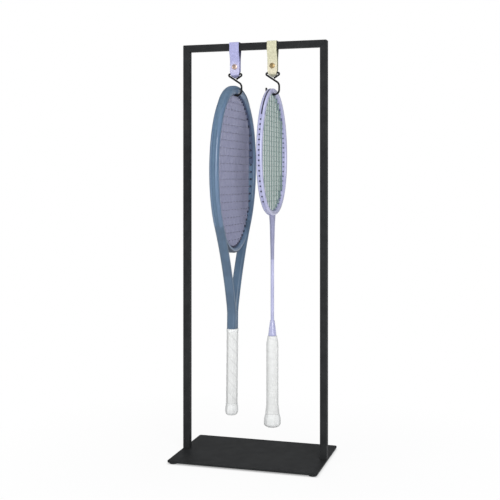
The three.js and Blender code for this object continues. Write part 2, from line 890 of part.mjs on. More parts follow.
function throatLeg(start) {
  const rise = start.z - tennisCrotch;
  const leg = tennisLegSpread / 2;
  const along = ovalPoint(tennisHead, throatAngle - Math.PI / 60).sub(start).normalize();
  const pull = along.multiplyScalar(rise * throatPullShare);
  const curve = new THREE.CubicBezierCurve3(
    start,
    start.clone().add(pull),
    new THREE.Vector3(leg * throatEaseSpreadShare, 0, tennisCrotch + rise * throatEaseShare),
    new THREE.Vector3(leg, 0, tennisCrotch),
  );
  const foot = new THREE.Vector3(leg, 0, tennisGripTop + seatGap);
  return [...curve.getPoints(9).slice(1), foot];
}

// The two legs draw together below the throat until they make one shaft.
function drawnTogether(geometry) {
  const narrow = tennisShaftWidth / (tennisLegSpread + tennisRim);
  const place = geometry.attributes.position;
  const start = tennisCrotch + tennisLegSpread * 2;
  for (let i = 0; i < place.count; i += 1) {
    const share = THREE.MathUtils.smoothstep(start - place.getZ(i), 0, tennisLegSpread * 2);
    place.setX(i, place.getX(i) * THREE.MathUtils.lerp(1, narrow, share));
  }
  return geometry;
}

function tennisFrame() {
  const section = rimSection({
    beam: tennisBeam, rim: tennisRim, round: tennisSideRound,
    grooveWidth: tennisGrooveWidth, grooveDepth: tennisGrooveDepth,
  });
  const hairpin = drawnTogether(sweep(section, hairpinPath()));
  const body = join([hairpin, bridge(), shaftWeb(), tang()]);
  return cut(body, [
    ...stringHoles(tennisBed, mainRoute(tennisBed)),
    ...stringHoles(tennisBed, crossRoute(tennisBed)),
  ]);
}

function bridge() {
  const section = rimSection({
    beam: tennisBridgeBeam, rim: tennisBridgeRim, round: tennisBridgeRim / 3,
    grooveWidth: tennisGrooveWidth, grooveDepth: tennisGrooveDepth / 2,
  });
  const path = arcPoints(tennisHead, Math.PI - throatAngle * 1.2, 2 * Math.PI + throatAngle * 1.2, 12);
  return sweep(section, path.reverse());
}

function shaftWeb() {
  const width = tennisShaftWidth - tennisSideRound;
  const depth = tennisBeam - tennisSideRound;
  const height = tennisCrotch + tennisSideRound - tennisGripTop - seatGap;
  const section = roundedRectangle(width, depth, seatGap);
  return prism(section, height).translate(0, 0, tennisGripTop + seatGap + height / 2);
}

// Eight-sided handle pieces, flats facing front, back and the sides, depth by width.
function octagonal(profile, depthShare) {
  const flat = Math.cos(Math.PI / handleSides);
  const points = profile.map(([width, height]) => [width / 2 / flat, height]);
  return upright(turning(points, handleSides, Math.PI / handleSides)).scale(1, depthShare, 1);
}

const tennisHandleShare = tennisGripDepth / tennisGripWidth;
const palletWidth = tennisGripWidth - 2 * gripThickness - 2 * seatGap;

function tang() {
  const top = tennisGripTop + tennisSideRound;
  const bottom = palletBottom + tennisTangShort;
  return octagonal([
    [0, bottom], [tennisTangWidth, bottom], [tennisTangWidth, top], [0, top],
  ], tennisHandleShare);
}

function bumperGuard() {
  const [side, inner] = [guardWidth / 2, tennisRim / 2 + seatGap];
  const outer = inner + guardThickness;
  const lip = inner - guardThickness * 0.4;
  const half = [
    [tennisGrooveWidth * 0.68, inner],
    [side - seatGap * 5, inner - seatGap * 1.6],
    [side, lip],
    [side * 0.9, inner + guardThickness * 0.45],
    [side * 0.5, outer],
  ];
  const mirrored = half.map(([x, y]) => [-x, y]).reverse();
  const section = outline([...half, ...mirrored].map(([x, y]) => [x, -y]));
  return sweep(section, arcPoints(tennisHead, Math.PI * 0.28, Math.PI * 0.72, 19).reverse());
}

function pallet() {
  const bore = tennisTangWidth + 2 * seatGap / tennisHandleShare;
  return octagonal([
    [bore, palletBottom], [palletWidth, palletBottom],
    [palletWidth, tennisGripTop], [bore, tennisGripTop], [bore, palletBottom],
  ], tennisHandleShare);
}

function tennisGrip() {
  const bore = tennisGripWidth - 2 * gripThickness;
  return octagonal([
    [bore, tennisGripBottom], [tennisGripWidth, tennisGripBottom],
    [tennisGripWidth, tennisGripTop], [bore, tennisGripTop], [bore, tennisGripBottom],
  ], tennisHandleShare);
}

function gripCollar() {
  const bore = tennisGripWidth + 2 * seatGap / tennisHandleShare;
  const width = bore + 2 * collarThickness;
  const bottom = tennisGripTop - collarLength;
  return octagonal([
    [bore, bottom], [width, bottom], [width, tennisGripTop],
    [bore, tennisGripTop], [bore, bottom],
  ], tennisHandleShare);
}

function tennisButt() {
  const top = tennisButtTop;
  const bore = palletWidth + 2 * seatGap / tennisHandleShare;
  const flare = tennisButtWidth - tennisGripWidth;
  const heights = tennisButtShares.map((share) => tennisButtBottom + tennisButtLength * share);
  return octagonal([
    [0, tennisButtBottom],
    [tennisButtWidth - 2 * flare, tennisButtBottom],
    [tennisButtWidth - flare / 2, heights[0]],
    [tennisButtWidth, heights[1]],
    [tennisButtWidth - flare / 2, heights[2]],
    [tennisGripWidth, top],
    [bore, top],
    [bore, palletBottom - seatGap],
    [0, palletBottom - seatGap],
  ], tennisHandleShare);
}

function tennisRacket() {
  const paint = () => finish(0x7088a6, 0.35, 0.1);
  const string = () => finish(0x9a98b2, 0.5);
  const white = () => finish(0xe8e9e8, 0.7);
  const group = new THREE.Group();
  group.add(
    piece('tennis_frame', tennisFrame(), paint()),
    piece('tennis_bumper_guard', bumperGuard(), finish(0x5c7088, 0.6)),
    piece('tennis_main_strings', stringBody(tennisBed, mainRoute(tennisBed)), string()),
    piece('tennis_cross_strings', stringBody(tennisBed, crossRoute(tennisBed)), string()),
    piece('tennis_handle_pallet', pallet(), finish(0x3a3c40, 0.8)),
    piece('tennis_grip', tennisGrip(), white()),
    piece('tennis_grip_collar', gripCollar(), white()),
    piece('tennis_butt_cap', tennisButt(), white()),
  );
  return hung(group, leftHangerX + tennisOffset, tennisTurn, tennisLean);
}

// A racket hangs on its hook's seat: it turns and leans about that point.
function hung(group, x, turn, lean) {
  const toRadians = THREE.MathUtils.degToRad;
  const turned = new THREE.Group();
  turned.rotation.z = toRadians(90 + turn);
  turned.add(group);
  const leaning = new THREE.Group();
  leaning.rotation.y = toRadians(lean);
  leaning.position.set(x, 0, hookSeatHeight);
  leaning.add(turned);
  return leaning;
}

// The badminton racket.

const badmintonFoot = rimSeat - badmintonTopRadius - badmintonLowRadius - badmintonRim;
const jointBottom = badmintonFoot - jointLength;
const coneTop = jointBottom - shaftLength;
const coneBottom = coneTop - coneLength;
const badmintonGripTop = coneBottom - seatGap;
const badmintonGripShoulder = badmintonGripTop - badmintonShoulderLength;
const badmintonGripBottom = badmintonGripTop - badmintonGripLength;
const badmintonButtTop = badmintonGripBottom - seatGap;
const badmintonButtBottom = badmintonButtTop - badmintonButtLength;
const badmintonCoreBottom = badmintonButtTop - badmintonCoreInsert;
const shaftBottom = badmintonGripTop - shaftInsert;
const shaftTop = jointBottom + jointInsert;
const badmintonHead = {
  middle: rimSeat - badmintonTopRadius,
  halfWidth: badmintonHeadWidth / 2 - badmintonRim / 2,
  topRadius: badmintonTopRadius + badmintonRim / 2,
  lowRadius: badmintonLowRadius + badmintonRim / 2,
  topFullness: badmintonTopFullness,
  lowFullness: badmintonLowFullness,
  rim: badmintonRim,
  grooveDepth: badmintonGrooveDepth,
};
const badmintonBed = {
  head: badmintonHead,
  mainCount: badmintonMainCount,
  mainSpreadShare: badmintonMainSpreadShare,
  crossCount: badmintonCrossCount,
  crossSpreadShare: badmintonCrossSpreadShare,
  firstCrossShare: badmintonFirstCrossShare,
  stringDiameter: badmintonStringDiameter,
  holeReachShare: 2.2,
};

function badmintonFrame() {
  const section = rimSection({
    beam: badmintonBeam, rim: badmintonRim, round: badmintonSideRound,
    grooveWidth: badmintonGrooveWidth, grooveDepth: badmintonGrooveDepth,
  });
  const opening = jointWidth / 8 / badmintonHead.halfWidth;
  const path = arcPoints(badmintonHead, opening - Math.PI / 2, 1.5 * Math.PI - opening, 52);
  const body = join([sweep(section, path.reverse()), shaftJoint()]);
  return cut(body, [
    shaftSocket(),
    ...stringHoles(badmintonBed, mainRoute(badmintonBed)),
    ...stringHoles(badmintonBed, crossRoute(badmintonBed)),
  ]);
}

// The moulded joint spreads from the round shaft into the flat foot of the head.
function shaftJoint() {
  const top = badmintonHead.middle - badmintonHead.lowRadius + badmintonRim / 4;
  const tall = top - jointBottom;
  const joint = upright(new THREE.CylinderGeometry(1, 1, tall, roundSides + 2, 6));
  const place = joint.attributes.position;
  for (let i = 0; i < place.count; i += 1) {
    const share = place.getZ(i) / tall + 0.5;
    const spread = THREE.MathUtils.smoothstep(share, jointSpreadShares[0], 1);
    const flare = spread ** jointSpreadShares[1];
    const wide = THREE.MathUtils.lerp(jointNeckDiameter, jointWidth, flare) / 2;
    const deep = THREE.MathUtils.lerp(jointNeckDiameter, badmintonBeam - 2 * seatGap, spread) / 2;
    place.setXY(i, place.getX(i) * wide, place.getY(i) * deep);
  }
  return joint.translate(0, 0, jointBottom + tall / 2);
}

function shaftSocket() {
  const radius = shaftDiameter / 2 + seatGap;
  const [low, high] = [jointBottom - cutOverrun, shaftTop + seatGap];
  return upright(turning([[0, low], [radius, low], [radius, high], [0, high]]));
}

function shaft() {
  const radius = shaftDiameter / 2;
  return upright(turning([[0, shaftBottom], [radius, shaftBottom], [radius, shaftTop], [0, shaftTop]]));
}

function cone() {
  const bore = shaftDiameter / 2 + seatGap;
  const [wide, narrow] = [coneBottomDiameter / 2, coneTopDiameter / 2];
  const middle = (coneTop + coneBottom) / 2;
  return upright(turning([
    [bore, coneBottom], [wide, coneBottom], [(wide + narrow) * coneSwellShare, middle],
    [narrow, coneTop], [bore, coneTop], [bore, coneBottom],
  ], roundSides + 2));
}

// Across-flats widths of the badminton grip at each height, from the butt's edge up.
function gripProfile() {
  return [
    [badmintonGripEndDiameter, badmintonGripBottom],
    [badmintonGripDiameter * badmintonFlareSwellShare, badmintonGripBottom + badmintonFlareLength],
    [badmintonGripDiameter, badmintonGripShoulder],
    [badmintonGripNeckDiameter, badmintonGripTop],
  ];
}

function badmintonCore() {
  const bore = shaftDiameter + 2 * seatGap;
  const inside = gripProfile().map(([width, height]) => [width - 2 * gripThickness - 2 * seatGap, height]);
  return octagonal([
    [0, badmintonCoreBottom],
    [inside[0][0], badmintonCoreBottom],
    ...inside,
    [bore, badmintonGripTop],
    [bore, shaftBottom - seatGap],
    [0, shaftBottom - seatGap],
  ], 1);
}

function badmintonGrip() {
  const outside = gripProfile();
  const inside = outside.map(([width, height]) => [width - 2 * gripThickness, height]).reverse();
  return octagonal([...outside, ...inside, outside[0]], 1);
}

function badmintonButt() {
  const top = badmintonButtTop;
  const bore = badmintonGripEndDiameter - 2 * gripThickness;
  return octagonal([
    [0, badmintonButtBottom],
    ...badmintonButtShares.map(([width, height]) => [
      badmintonButtDiameter * width, badmintonButtBottom + badmintonButtLength * height,
    ]),
    [badmintonGripEndDiameter, top],
    [bore, top],
    [bore, badmintonCoreBottom - seatGap],
    [0, badmintonCoreBottom - seatGap],
  ], 1);
}

function badmintonRacket() {
  const paint = () => finish(0xd2d5ee, 0.35, 0.1);
  const string = () => finish(0xa2b0b0, 0.5);
  const white = () => finish(0xe8e8e8, 0.7);
  const group = new THREE.Group();
  group.add(
    piece('badminton_frame', badmintonFrame(), paint()),
    piece('badminton_main_strings', stringBody(badmintonBed, mainRoute(badmintonBed)), string()),
    piece('badminton_cross_strings', stringBody(badmintonBed, crossRoute(badmintonBed)), string()),
    piece('badminton_shaft', shaft(), paint()),
    piece('badminton_cone', cone(), paint()),
    piece('badminton_handle_core', badmintonCore(), finish(0xc9a877, 0.8)),
    piece('badminton_grip', badmintonGrip(), white()),
    piece('badminton_butt_cap', badmintonButt(), white()),
  );
  return hung(group, rightHangerX + badmintonOffset, 0, 0);
}

// The whole display.

const lavender = { leather: finish(0xbcbce4, 0.7), metal: finish(0xb99a86, 0.35, 0.9) };
const cream = { leather: finish(0xe0dec4, 0.7), metal: finish(0xa08c64, 0.4, 0.9) };

const display = new THREE.Group();
display.add(
  stand(),
  hanger('left', leftHangerX, lavender),
  hanger('right', rightHangerX, cream),
  tennisRacket(),
  badmintonRacket(),
);

export default display;
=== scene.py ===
import math

import bmesh
import bpy
from mathutils import Matrix, Vector, noise


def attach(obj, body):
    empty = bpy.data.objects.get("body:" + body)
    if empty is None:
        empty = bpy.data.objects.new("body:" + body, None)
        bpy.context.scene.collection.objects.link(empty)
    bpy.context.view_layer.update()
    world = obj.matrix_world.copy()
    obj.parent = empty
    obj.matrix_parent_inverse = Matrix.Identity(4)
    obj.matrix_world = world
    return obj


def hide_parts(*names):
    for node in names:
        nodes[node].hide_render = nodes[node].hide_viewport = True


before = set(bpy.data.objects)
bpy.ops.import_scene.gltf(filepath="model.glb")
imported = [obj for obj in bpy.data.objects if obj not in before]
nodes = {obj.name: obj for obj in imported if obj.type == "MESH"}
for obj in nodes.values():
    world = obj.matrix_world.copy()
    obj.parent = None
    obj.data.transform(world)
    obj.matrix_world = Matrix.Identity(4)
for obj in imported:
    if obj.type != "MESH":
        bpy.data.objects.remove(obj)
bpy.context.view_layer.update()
print("frame loaded")

mm = 0.001  # lengths are in millimetres until a piece is finished
perMetre = 1000  # divided by a pattern's size in millimetres it gives the pattern's scale
upright = Matrix.Rotation(math.radians(90), 4, "X")  # flat X, Y drawings stand up in X, Z


def hexColor(text):
    parts = [int(text[i:i + 2], 16) / 255 for i in (1, 3, 5)]
    return [c / 12.92 if c <= 0.04045 else ((c + 0.055) / 1.055) ** 2.4 for c in parts] + [1.0]


def cleanMesh(bm):
    bmesh.ops.remove_doubles(bm, verts=bm.verts, dist=1e-4)
    bmesh.ops.recalc_face_normals(bm, faces=bm.faces)


def newObject(name, data):
    made = bpy.data.objects.new(name, data)
    bpy.context.scene.collection.objects.link(made)
    return made


def newMesh(name, bm):
    mesh = bpy.data.meshes.new(name)
    bm.to_mesh(mesh)
    bm.free()
    return mesh


def finishPiece(name, bm, body, materials, place, smooth=40, replaces=()):
    # turns a millimetre bmesh into a piece that lies in the shared frame
    mesh = newMesh(name, bm)
    mesh.transform(Matrix.Scale(mm, 4) @ place)
    for polygon in mesh.polygons:
        polygon.use_smooth = True
    mesh.set_sharp_from_angle(angle=math.radians(smooth))
    for material in materials:
        mesh.materials.append(material)
    piece = newObject(name, mesh)
    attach(piece, body)
    if replaces:
        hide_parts(*replaces)
    return piece


def addSpline(curve, points, closed=False, radii=None):
    # points are (x, y) or (x, y, z)
    spline = curve.splines.new("POLY")
    spline.points.add(len(points) - 1)
    for i, point in enumerate(points):
        x, y, z = (*point, 0)[:3]
        spline.points[i].co = (x, y, z, 1)
        spline.points[i].radius = radii[i] if radii else 1
    spline.use_cyclic_u = closed
    spline.use_smooth = True


def sweptSolid(paths, section=None, radius=1.0, closed=False, radii=None):
    # a section or a round wire carried along paths drawn flat in X and Y, then stood up
    curve = bpy.data.curves.new("sweep", "CURVE")
    curve.dimensions = "3D"
    curve.twist_mode = "Z_UP"
    curve.use_fill_caps = not closed
    profile = None
    if section:
        outline = bpy.data.curves.new("section", "CURVE")
        outline.dimensions = "2D"
        addSpline(outline, section, True)
        profile = newObject("section", outline)
        curve.bevel_mode = "OBJECT"
        curve.bevel_object = profile
    else:
        curve.bevel_depth = radius
        curve.bevel_resolution = 6
    for path in paths:
        addSpline(curve, path, closed, radii)
    sweep = newObject("sweep", curve)
    graph = bpy.context.evaluated_depsgraph_get()
    mesh = bpy.data.meshes.new_from_object(sweep.evaluated_get(graph))
    bpy.data.objects.remove(sweep)
    if profile:
        bpy.data.objects.remove(profile)
    bm = bmesh.new()
    bm.from_mesh(mesh)
    bpy.data.meshes.remove(mesh)
    bmesh.ops.transform(bm, matrix=upright, verts=bm.verts)
    cleanMesh(bm)
    return bm


def lathe(profile, steps=48):
    # profile is (radius, height) from the bottom's middle to the top's middle
    bm = bmesh.new()
    verts = [bm.verts.new((r, 0, z)) for r, z in profile]
    edges = [bm.edges.new(pair) for pair in zip(verts, verts[1:])]
    bmesh.ops.spin(bm, geom=verts + edges, cent=(0, 0, 0), axis=(0, 0, 1),
                   angle=2 * math.pi, steps=steps, use_merge=True)
    cleanMesh(bm)
    return bm


def raised(points, base):
    return [(r, base + z) for r, z in points]


def joined(*parts):
    whole = bmesh.new()
    for part in parts:
        mesh = newMesh("part", part)
        whole.from_mesh(mesh)
        bpy.data.meshes.remove(mesh)
    return whole


def smoothStep(value, low, high):
    share = min(1, max(0, (value - low) / (high - low)))
    return share * share * (3 - 2 * share)


def arc(center, radius, start, end, steps):
    angles = [math.radians(start + (end - start) * i / steps) for i in range(steps + 1)]
    return [(center[0] + radius * math.cos(a), center[1] + radius * math.sin(a)) for a in angles]


def addNode(tree, kind, settings=None, links=None):
    # kind is the node type after ShaderNode, settings name attributes or sockets, and links name
    # sockets and what feeds them
    node = tree.nodes.new("ShaderNode" + kind)
    for key, value in (settings or {}).items():
        if isinstance(key, int) or key in node.inputs:
            node.inputs[key].default_value = value
        else:
            setattr(node, key, value)
    for key, source in (links or {}).items():
        tree.links.new(source, node.inputs[key])
    return node


def emptyTree(owner):
    owner.use_nodes = True
    owner.node_tree.nodes.clear()
    return owner.node_tree


def newFinish(name, color, roughness, metallic=0.0, coat=0.0, coatRoughness=0.1):
    material = bpy.data.materials.new(name)
    material.use_nodes = True
    tree = material.node_tree
    shader = tree.nodes["Principled BSDF"]
    for socket, value in (("Base Color", hexColor(color)), ("Roughness", roughness),
                          ("Metallic", metallic), ("Coat Weight", coat),
                          ("Coat Roughness", coatRoughness)):
        shader.inputs[socket].default_value = value
    place = addNode(tree, "TexCoord").outputs["Object"]
    return material, tree, shader, place


def vary(tree, shader, place, colors, size, detail=3, low=0.35, high=0.65):
    # a cloudy change between two colours, its lumps size millimetres wide
    cloud = addNode(tree, "TexNoise", {"Scale": perMetre / size, "Detail": detail}, {"Vector": place})
    ramp = addNode(tree, "ValToRGB", {}, {"Fac": cloud.outputs["Fac"]})
    for element, color, at in zip(ramp.color_ramp.elements, colors, (low, high)):
        element.color = hexColor(color)
        element.position = at
    tree.links.new(ramp.outputs["Color"], shader.inputs["Base Color"])
    return ramp


def roughen(tree, shader, height, depth, strength):
    # relief from a pattern, depth millimetres high
    bump = addNode(tree, "Bump", {"Distance": depth * mm, "Strength": strength}, {"Height": height})
    tree.links.new(bump.outputs["Normal"], shader.inputs["Normal"])


def spread(tree, shader, source, low, high, start=0.3, end=0.7):
    # roughness that follows a pattern between two values
    change = addNode(tree, "MapRange", {
        "From Min": start, "From Max": end, "To Min": low, "To Max": high}, {"Value": source})
    tree.links.new(change.outputs["Result"], shader.inputs["Roughness"])


def powderCoatSteel():
    # black polyester powder baked on steel: an even satin skin with a fine orange peel
    material, tree, shader, place = newFinish("powderCoatSteel", "#252627", 0.5)
    vary(tree, shader, place, ("#2a2b2c", "#303132"), 22)
    peel = addNode(tree, "TexNoise", {"Scale": perMetre / 1.4, "Detail": 1}, {"Vector": place})
    roughen(tree, shader, peel.outputs["Fac"], 0.03, 0.25)
    spread(tree, shader, peel.outputs["Fac"], 0.48, 0.55)
    shader.inputs["Specular IOR Level"].default_value = 0.04
    return material


def zincPlatedSteel():
    # bright zinc on turned steel: silvery, a little cloudy
    material, tree, shader, place = newFinish("zincPlatedSteel", "#b9bbbd", 0.32, 1.0)
    cloud = vary(tree, shader, place, ("#a9abae", "#c6c8ca"), 3)
    spread(tree, shader, cloud.outputs["Color"], 0.25, 0.42, 0.3, 0.6)
    return material


def mouldedRubber():
    # soft black rubber foot: dull, with a slight bloom
    material, tree, shader, place = newFinish("mouldedRubber", "#1c1c1d", 0.85)
    vary(tree, shader, place, ("#18181a", "#242425"), 4)
    grain = addNode(tree, "TexNoise", {"Scale": perMetre / 0.5}, {"Vector": place})
    roughen(tree, shader, grain.outputs["Fac"], 0.04, 0.6)
    return material


def grainedLeather(name, colors, pale, center):
    # pigmented cow leather with a pressed pebble grain, painted paler round the snap as a painted
    # highlight where the strap curves up to the light
    material, tree, shader, place = newFinish(name, colors[0], 0.55)
    ramp = vary(tree, shader, place, colors, 5, 4, 0.3, 0.7)
    away = addNode(tree, "VectorMath", {"operation": "DISTANCE", 1: center}, {0: place})
    near = addNode(tree, "MapRange", {
        "From Min": 6 * mm, "From Max": 19 * mm, "To Min": 0.9, "To Max": 0.0,
        "interpolation_type": "SMOOTHSTEP"}, {"Value": away.outputs["Value"]})
    mix = addNode(tree, "Mix", {"data_type": "RGBA", 7: hexColor(pale)},
                  {0: near.outputs["Result"], 6: ramp.outputs["Color"]})
    pebble = addNode(tree, "TexVoronoi", {
        "Scale": perMetre / 1.1, "feature": "SMOOTH_F1", "Smoothness": 0.6}, {"Vector": place})
    crease = addNode(tree, "MapRange", {
        "From Min": 0.35, "From Max": 0.75, "To Min": 0.0, "To Max": 0.16},
        {"Value": pebble.outputs["Distance"]})
    shade = addNode(tree, "Mix", {
        "data_type": "RGBA", "blend_type": "MULTIPLY", 7: hexColor("#8c8a86")},
        {0: crease.outputs["Result"], 6: mix.outputs[2]})
    tree.links.new(shade.outputs[2], shader.inputs["Base Color"])
    pore = addNode(tree, "TexNoise", {"Scale": perMetre / 0.35, "Detail": 2}, {"Vector": place})
    height = addNode(tree, "Math", {"operation": "MULTIPLY_ADD", 1: -0.8},
                     {0: pebble.outputs["Distance"], 2: pore.outputs["Fac"]})
    roughen(tree, shader, height.outputs["Value"], 0.14, 0.6)
    spread(tree, shader, pebble.outputs["Distance"], 0.46, 0.66, 0.2, 0.7)
    shader.inputs["Sheen Weight"].default_value = 0.06
    return material


def edgeDyeWithBarShade(name, color, barShadeColor):
    # brushed-on edge dye of a cut strap, almost smooth; the lining takes it too. It is darkest by the bar,
    # as painted shade between the strap's layers under the bar
    barShadeLow, barShadeHigh = 793 * mm, 808 * mm
    material, tree, shader, place = newFinish(name, color, 0.5)
    height = addNode(tree, "SeparateXYZ", {}, {"Vector": place})
    cloud = addNode(tree, "TexNoise", {"Scale": perMetre / 1.5}, {"Vector": place})
    # painted shade: the colour darkens towards the bar, mixed with a little random mottle
    barShade = addNode(tree, "MapRange", {
        "From Min": barShadeLow, "From Max": barShadeHigh, "interpolation_type": "SMOOTHSTEP"},
        {"Value": height.outputs["Z"]})
    mottleAndShade = addNode(tree, "Math", {"operation": "MULTIPLY_ADD", 1: 0.2},
                   {0: cloud.outputs["Fac"], 2: barShade.outputs["Result"]})
    dyeAndShade = addNode(tree, "Mix", {
        "data_type": "RGBA", 6: hexColor(color), 7: hexColor(barShadeColor)}, {0: mottleAndShade.outputs["Value"]})
    tree.links.new(dyeAndShade.outputs[2], shader.inputs["Base Color"])
    fuzz = addNode(tree, "TexNoise", {"Scale": perMetre / 0.4}, {"Vector": place})
    roughen(tree, shader, fuzz.outputs["Fac"], 0.05, 0.5)
    return material


def platedSnap(name, colors, roughness):
    # stamped brass with a thin coloured plating, polished by rubbing on its crown
    material, tree, shader, place = newFinish(name, colors[0], roughness, 1.0)
    vary(tree, shader, place, colors, 2.5)
    scuff = addNode(tree, "TexNoise", {"Scale": perMetre / 0.6, "Detail": 3}, {"Vector": place})
    spread(tree, shader, scuff.outputs["Fac"], roughness - 0.06, roughness + 0.12)
    return material


def enamelledWire():
    # spring steel wire under black enamel: smooth and fairly glossy
    material, tree, shader, place = newFinish("enamelledWire", "#121213", 0.34)
    vary(tree, shader, place, ("#101011", "#171719"), 5)
    shader.inputs["Specular IOR Level"].default_value = 0.2
    drawn = addNode(tree, "TexNoise", {"Scale": perMetre / 1.2, "Detail": 2}, {"Vector": place})
    spread(tree, shader, drawn.outputs["Fac"], 0.3, 0.44)
    roughen(tree, shader, drawn.outputs["Fac"], 0.02, 0.4)
    return material


def satinLacquer(name, colors, roughness, coat, coatRoughness=0.25):
    # sprayed lacquer over carbon fibre: an even colour with pearl flakes under a clear coat; the
    # flakes are drawn coarser than real ones, so that they show
    material, tree, shader, place = newFinish(name, colors[0], roughness, 0.0, coat, coatRoughness)
    vary(tree, shader, place, colors, 30, 2, 0.4, 0.6)
    flake = addNode(tree, "TexNoise", {"Scale": perMetre / 0.5, "Detail": 1}, {"Vector": place})
    spread(tree, shader, flake.outputs["Fac"], roughness - 0.05, roughness + 0.07)
    peel = addNode(tree, "TexNoise", {"Scale": perMetre / 3.0, "Detail": 1}, {"Vector": place})
    roughen(tree, shader, peel.outputs["Fac"], 0.04, 0.3)
    return material


def mouldedNylon(name, colors, roughness=0.5):
    # injection moulded nylon of grommets and guards: slightly mottled, satin, its grain drawn coarser
    # than real to show; the rubber caps and the wood inside a handle have the same plain skin
    material, tree, shader, place = newFinish(name, colors[0], roughness)
    vary(tree, shader, place, colors, 6)
    grain = addNode(tree, "TexNoise", {"Scale": perMetre / 0.4, "Detail": 2}, {"Vector": place})
    roughen(tree, shader, grain.outputs["Fac"], 0.04, 0.5)
    return material


def twistedString(name, colors):
    # string of twisted nylon fibres: fine ridges under a thin clear coat
    material, tree, shader, place = newFinish(name, colors[0], 0.4, 0.0, 0.3, 0.2)
    vary(tree, shader, place, colors, 2)
    fibre = addNode(tree, "TexNoise", {"Scale": perMetre / 0.25, "Detail": 2}, {"Vector": place})
    roughen(tree, shader, fibre.outputs["Fac"], 0.04, 0.5)
    return material


def wrappedGrip(name, colors):
    # polyurethane grip tape: dry, tacky white with tiny pores; the laps are painted darker, as shade in
    # each lap's step
    material, tree, shader, place = newFinish(name, colors[0], 0.7)
    cloud = vary(tree, shader, place, colors, 9, 4, 0.35, 0.7)
    seam = addNode(tree, "Attribute", {"attribute_name": "seam"})
    lap = addNode(tree, "Mix", {"data_type": "RGBA", 7: hexColor("#b4b5b4")},
                  {0: seam.outputs["Fac"], 6: cloud.outputs["Color"]})
    tree.links.new(lap.outputs[2], shader.inputs["Base Color"])
    pore = addNode(tree, "TexVoronoi", {"Scale": perMetre / 1.6}, {"Vector": place})
    fine = addNode(tree, "TexNoise", {"Scale": perMetre / 0.4, "Detail": 2}, {"Vector": place})
    height = addNode(tree, "Math", {"operation": "MULTIPLY_ADD", 1: 0.7},
                     {0: pore.outputs["Distance"], 2: fine.outputs["Fac"]})
    roughen(tree, shader, height.outputs["Value"], 0.09, 0.5)
    spread(tree, shader, fine.outputs["Fac"], 0.62, 0.78)
    return material


frameCoat = powderCoatSteel()
zinc = zincPlatedSteel()
rubber = mouldedRubber()
wire = enamelledWire()
tennisPaint = satinLacquer("tennisLacquer", ("#597290", "#607a98"), 0.34, 0.35, 0.16)
badmintonPaint = satinLacquer("badmintonLacquer", ("#b0b2d6", "#b8badd"), 0.28, 0.6, 0.1)
guardPlastic = mouldedNylon("guardNylon", ("#566f88", "#5d7791"))
navyNylon = mouldedNylon("navyGrommetNylon", ("#181d36", "#1e2440"))
# painted shade: a dark nylon for a strip on the hoop's inner face
innerShadeNylon = mouldedNylon("innerStripShadeNylon", ("#4b5877", "#526080"), 0.6)
# painted shade: a darker copy of the tennis lacquer for the bridge's underside
bridgeShadeLacquer = satinLacquer("bridgeLacquerShaded", ("#2c3d52", "#324359"), 0.5, 0.0)
# painted shade: a darker copy of the badminton lacquer for the taper under the head
jointShadeLacquer = satinLacquer("jointLacquerShaded", ("#8e90af", "#9698b7"), 0.4, 0.0)
# painted shade: a darker copy of the tennis lacquer for the throat's legs
legShadeLacquer = satinLacquer("legLacquerShaded", ("#4c637b", "#526a83"), 0.4, 0.1)
greyNylon = mouldedNylon("greyGrommetNylon", ("#4a4c74", "#54577f"), 0.45)
darkNylon = mouldedNylon("darkGrommetNylon", ("#1d1f38", "#262844"))
tennisString = twistedString("mauveString", ("#767893", "#7f819c"))
badmintonString = twistedString("greyGreenString", ("#657e79", "#6e8883"))
whiteGrip = wrappedGrip("whiteGripTape", ("#e4e5e4", "#edeeed"))
whiteRubber = mouldedNylon("whiteButtRubber", ("#ebedec", "#f2f3f3"), 0.6)
handleWood = mouldedNylon("sealedWood", ("#c3a272", "#cfb083"))
print("materials made")


# the stand keeps its steel solids and gets round feet
def dressNodes(names, material):
    for name in names:
        mesh = nodes[name].data
        mesh.materials.clear()
        mesh.materials.append(material)


dressNodes(["base_plate", "left_post", "right_post", "top_bar"], frameCoat)
dressNodes(["left_post_plug", "right_post_plug", "left_base_screw", "right_base_screw"], zinc)
dressNodes(["tennis_handle_pallet"], navyNylon)
dressNodes(["badminton_handle_core"], handleWood)

footShape = {"radius": 8.0, "height": 2.7, "rim": 0.8, "rebate": 0.5, "hollow": 0.25,
             "hollowRadii": (4.96, 5.44), "across": 140.0, "along": 87.5}


def makeFeet():
    f = footShape
    side, sole = f["radius"], f["radius"] - f["rim"]
    deep, shallow = f["hollowRadii"]
    profile = [(0, f["hollow"]), (deep, f["hollow"]), (shallow, 0), (sole, 0)]
    profile += [(sole + x, f["rim"] + y) for x, y in arc((0, 0), f["rim"], -75, 0, 5)]
    profile += [(side, f["height"] - f["rebate"]), (side - f["rebate"] * 0.6, f["height"]),
                (0, f["height"])]
    for row, y in (("front", -1), ("rear", 1)):
        for hand, x in (("left", -1), ("right", 1)):
            place = Matrix.Translation((x * f["across"], y * f["along"], 0))
            finishPiece(f"{row}_{hand}_foot_moulded", lathe(profile, 40), "stand",
                        [rubber], place, replaces=[f"{row}_{hand}_foot"])


makeFeet()
print("stand dressed")


# seen from the side: distances from the bar's middle and heights
strapShape = {"width": 20.0, "thickness": 2.0, "edge": 0.5, "front": -3.2, "side": 8.3, "back": 4.7,
              "return": -0.9, "top": 833.3, "corner": 2.2, "barLow": 818.0, "waist": 797.5,
              "hookTop": 770.5, "bendTop": 779.5, "foldHalf": 8.6, "columns": 10, "sway": 0.16,
              "tail": (775.1, 780, 785, 790), "rise": (822, 826), "over": (3, 0, -3),
              "fall": (792, 787, 782, 777, 773.5, 771), "returnRun": (784, 790, 795.5)}


def easedRun(start, end, steps):
    # an S bend between two upright runs
    (y0, z0), (y1, z1) = start, end
    return [(y0 + (y1 - y0) * smoothStep(i / steps, 0, 1), z0 + (z1 - z0) * i / steps)
            for i in range(steps + 1)]


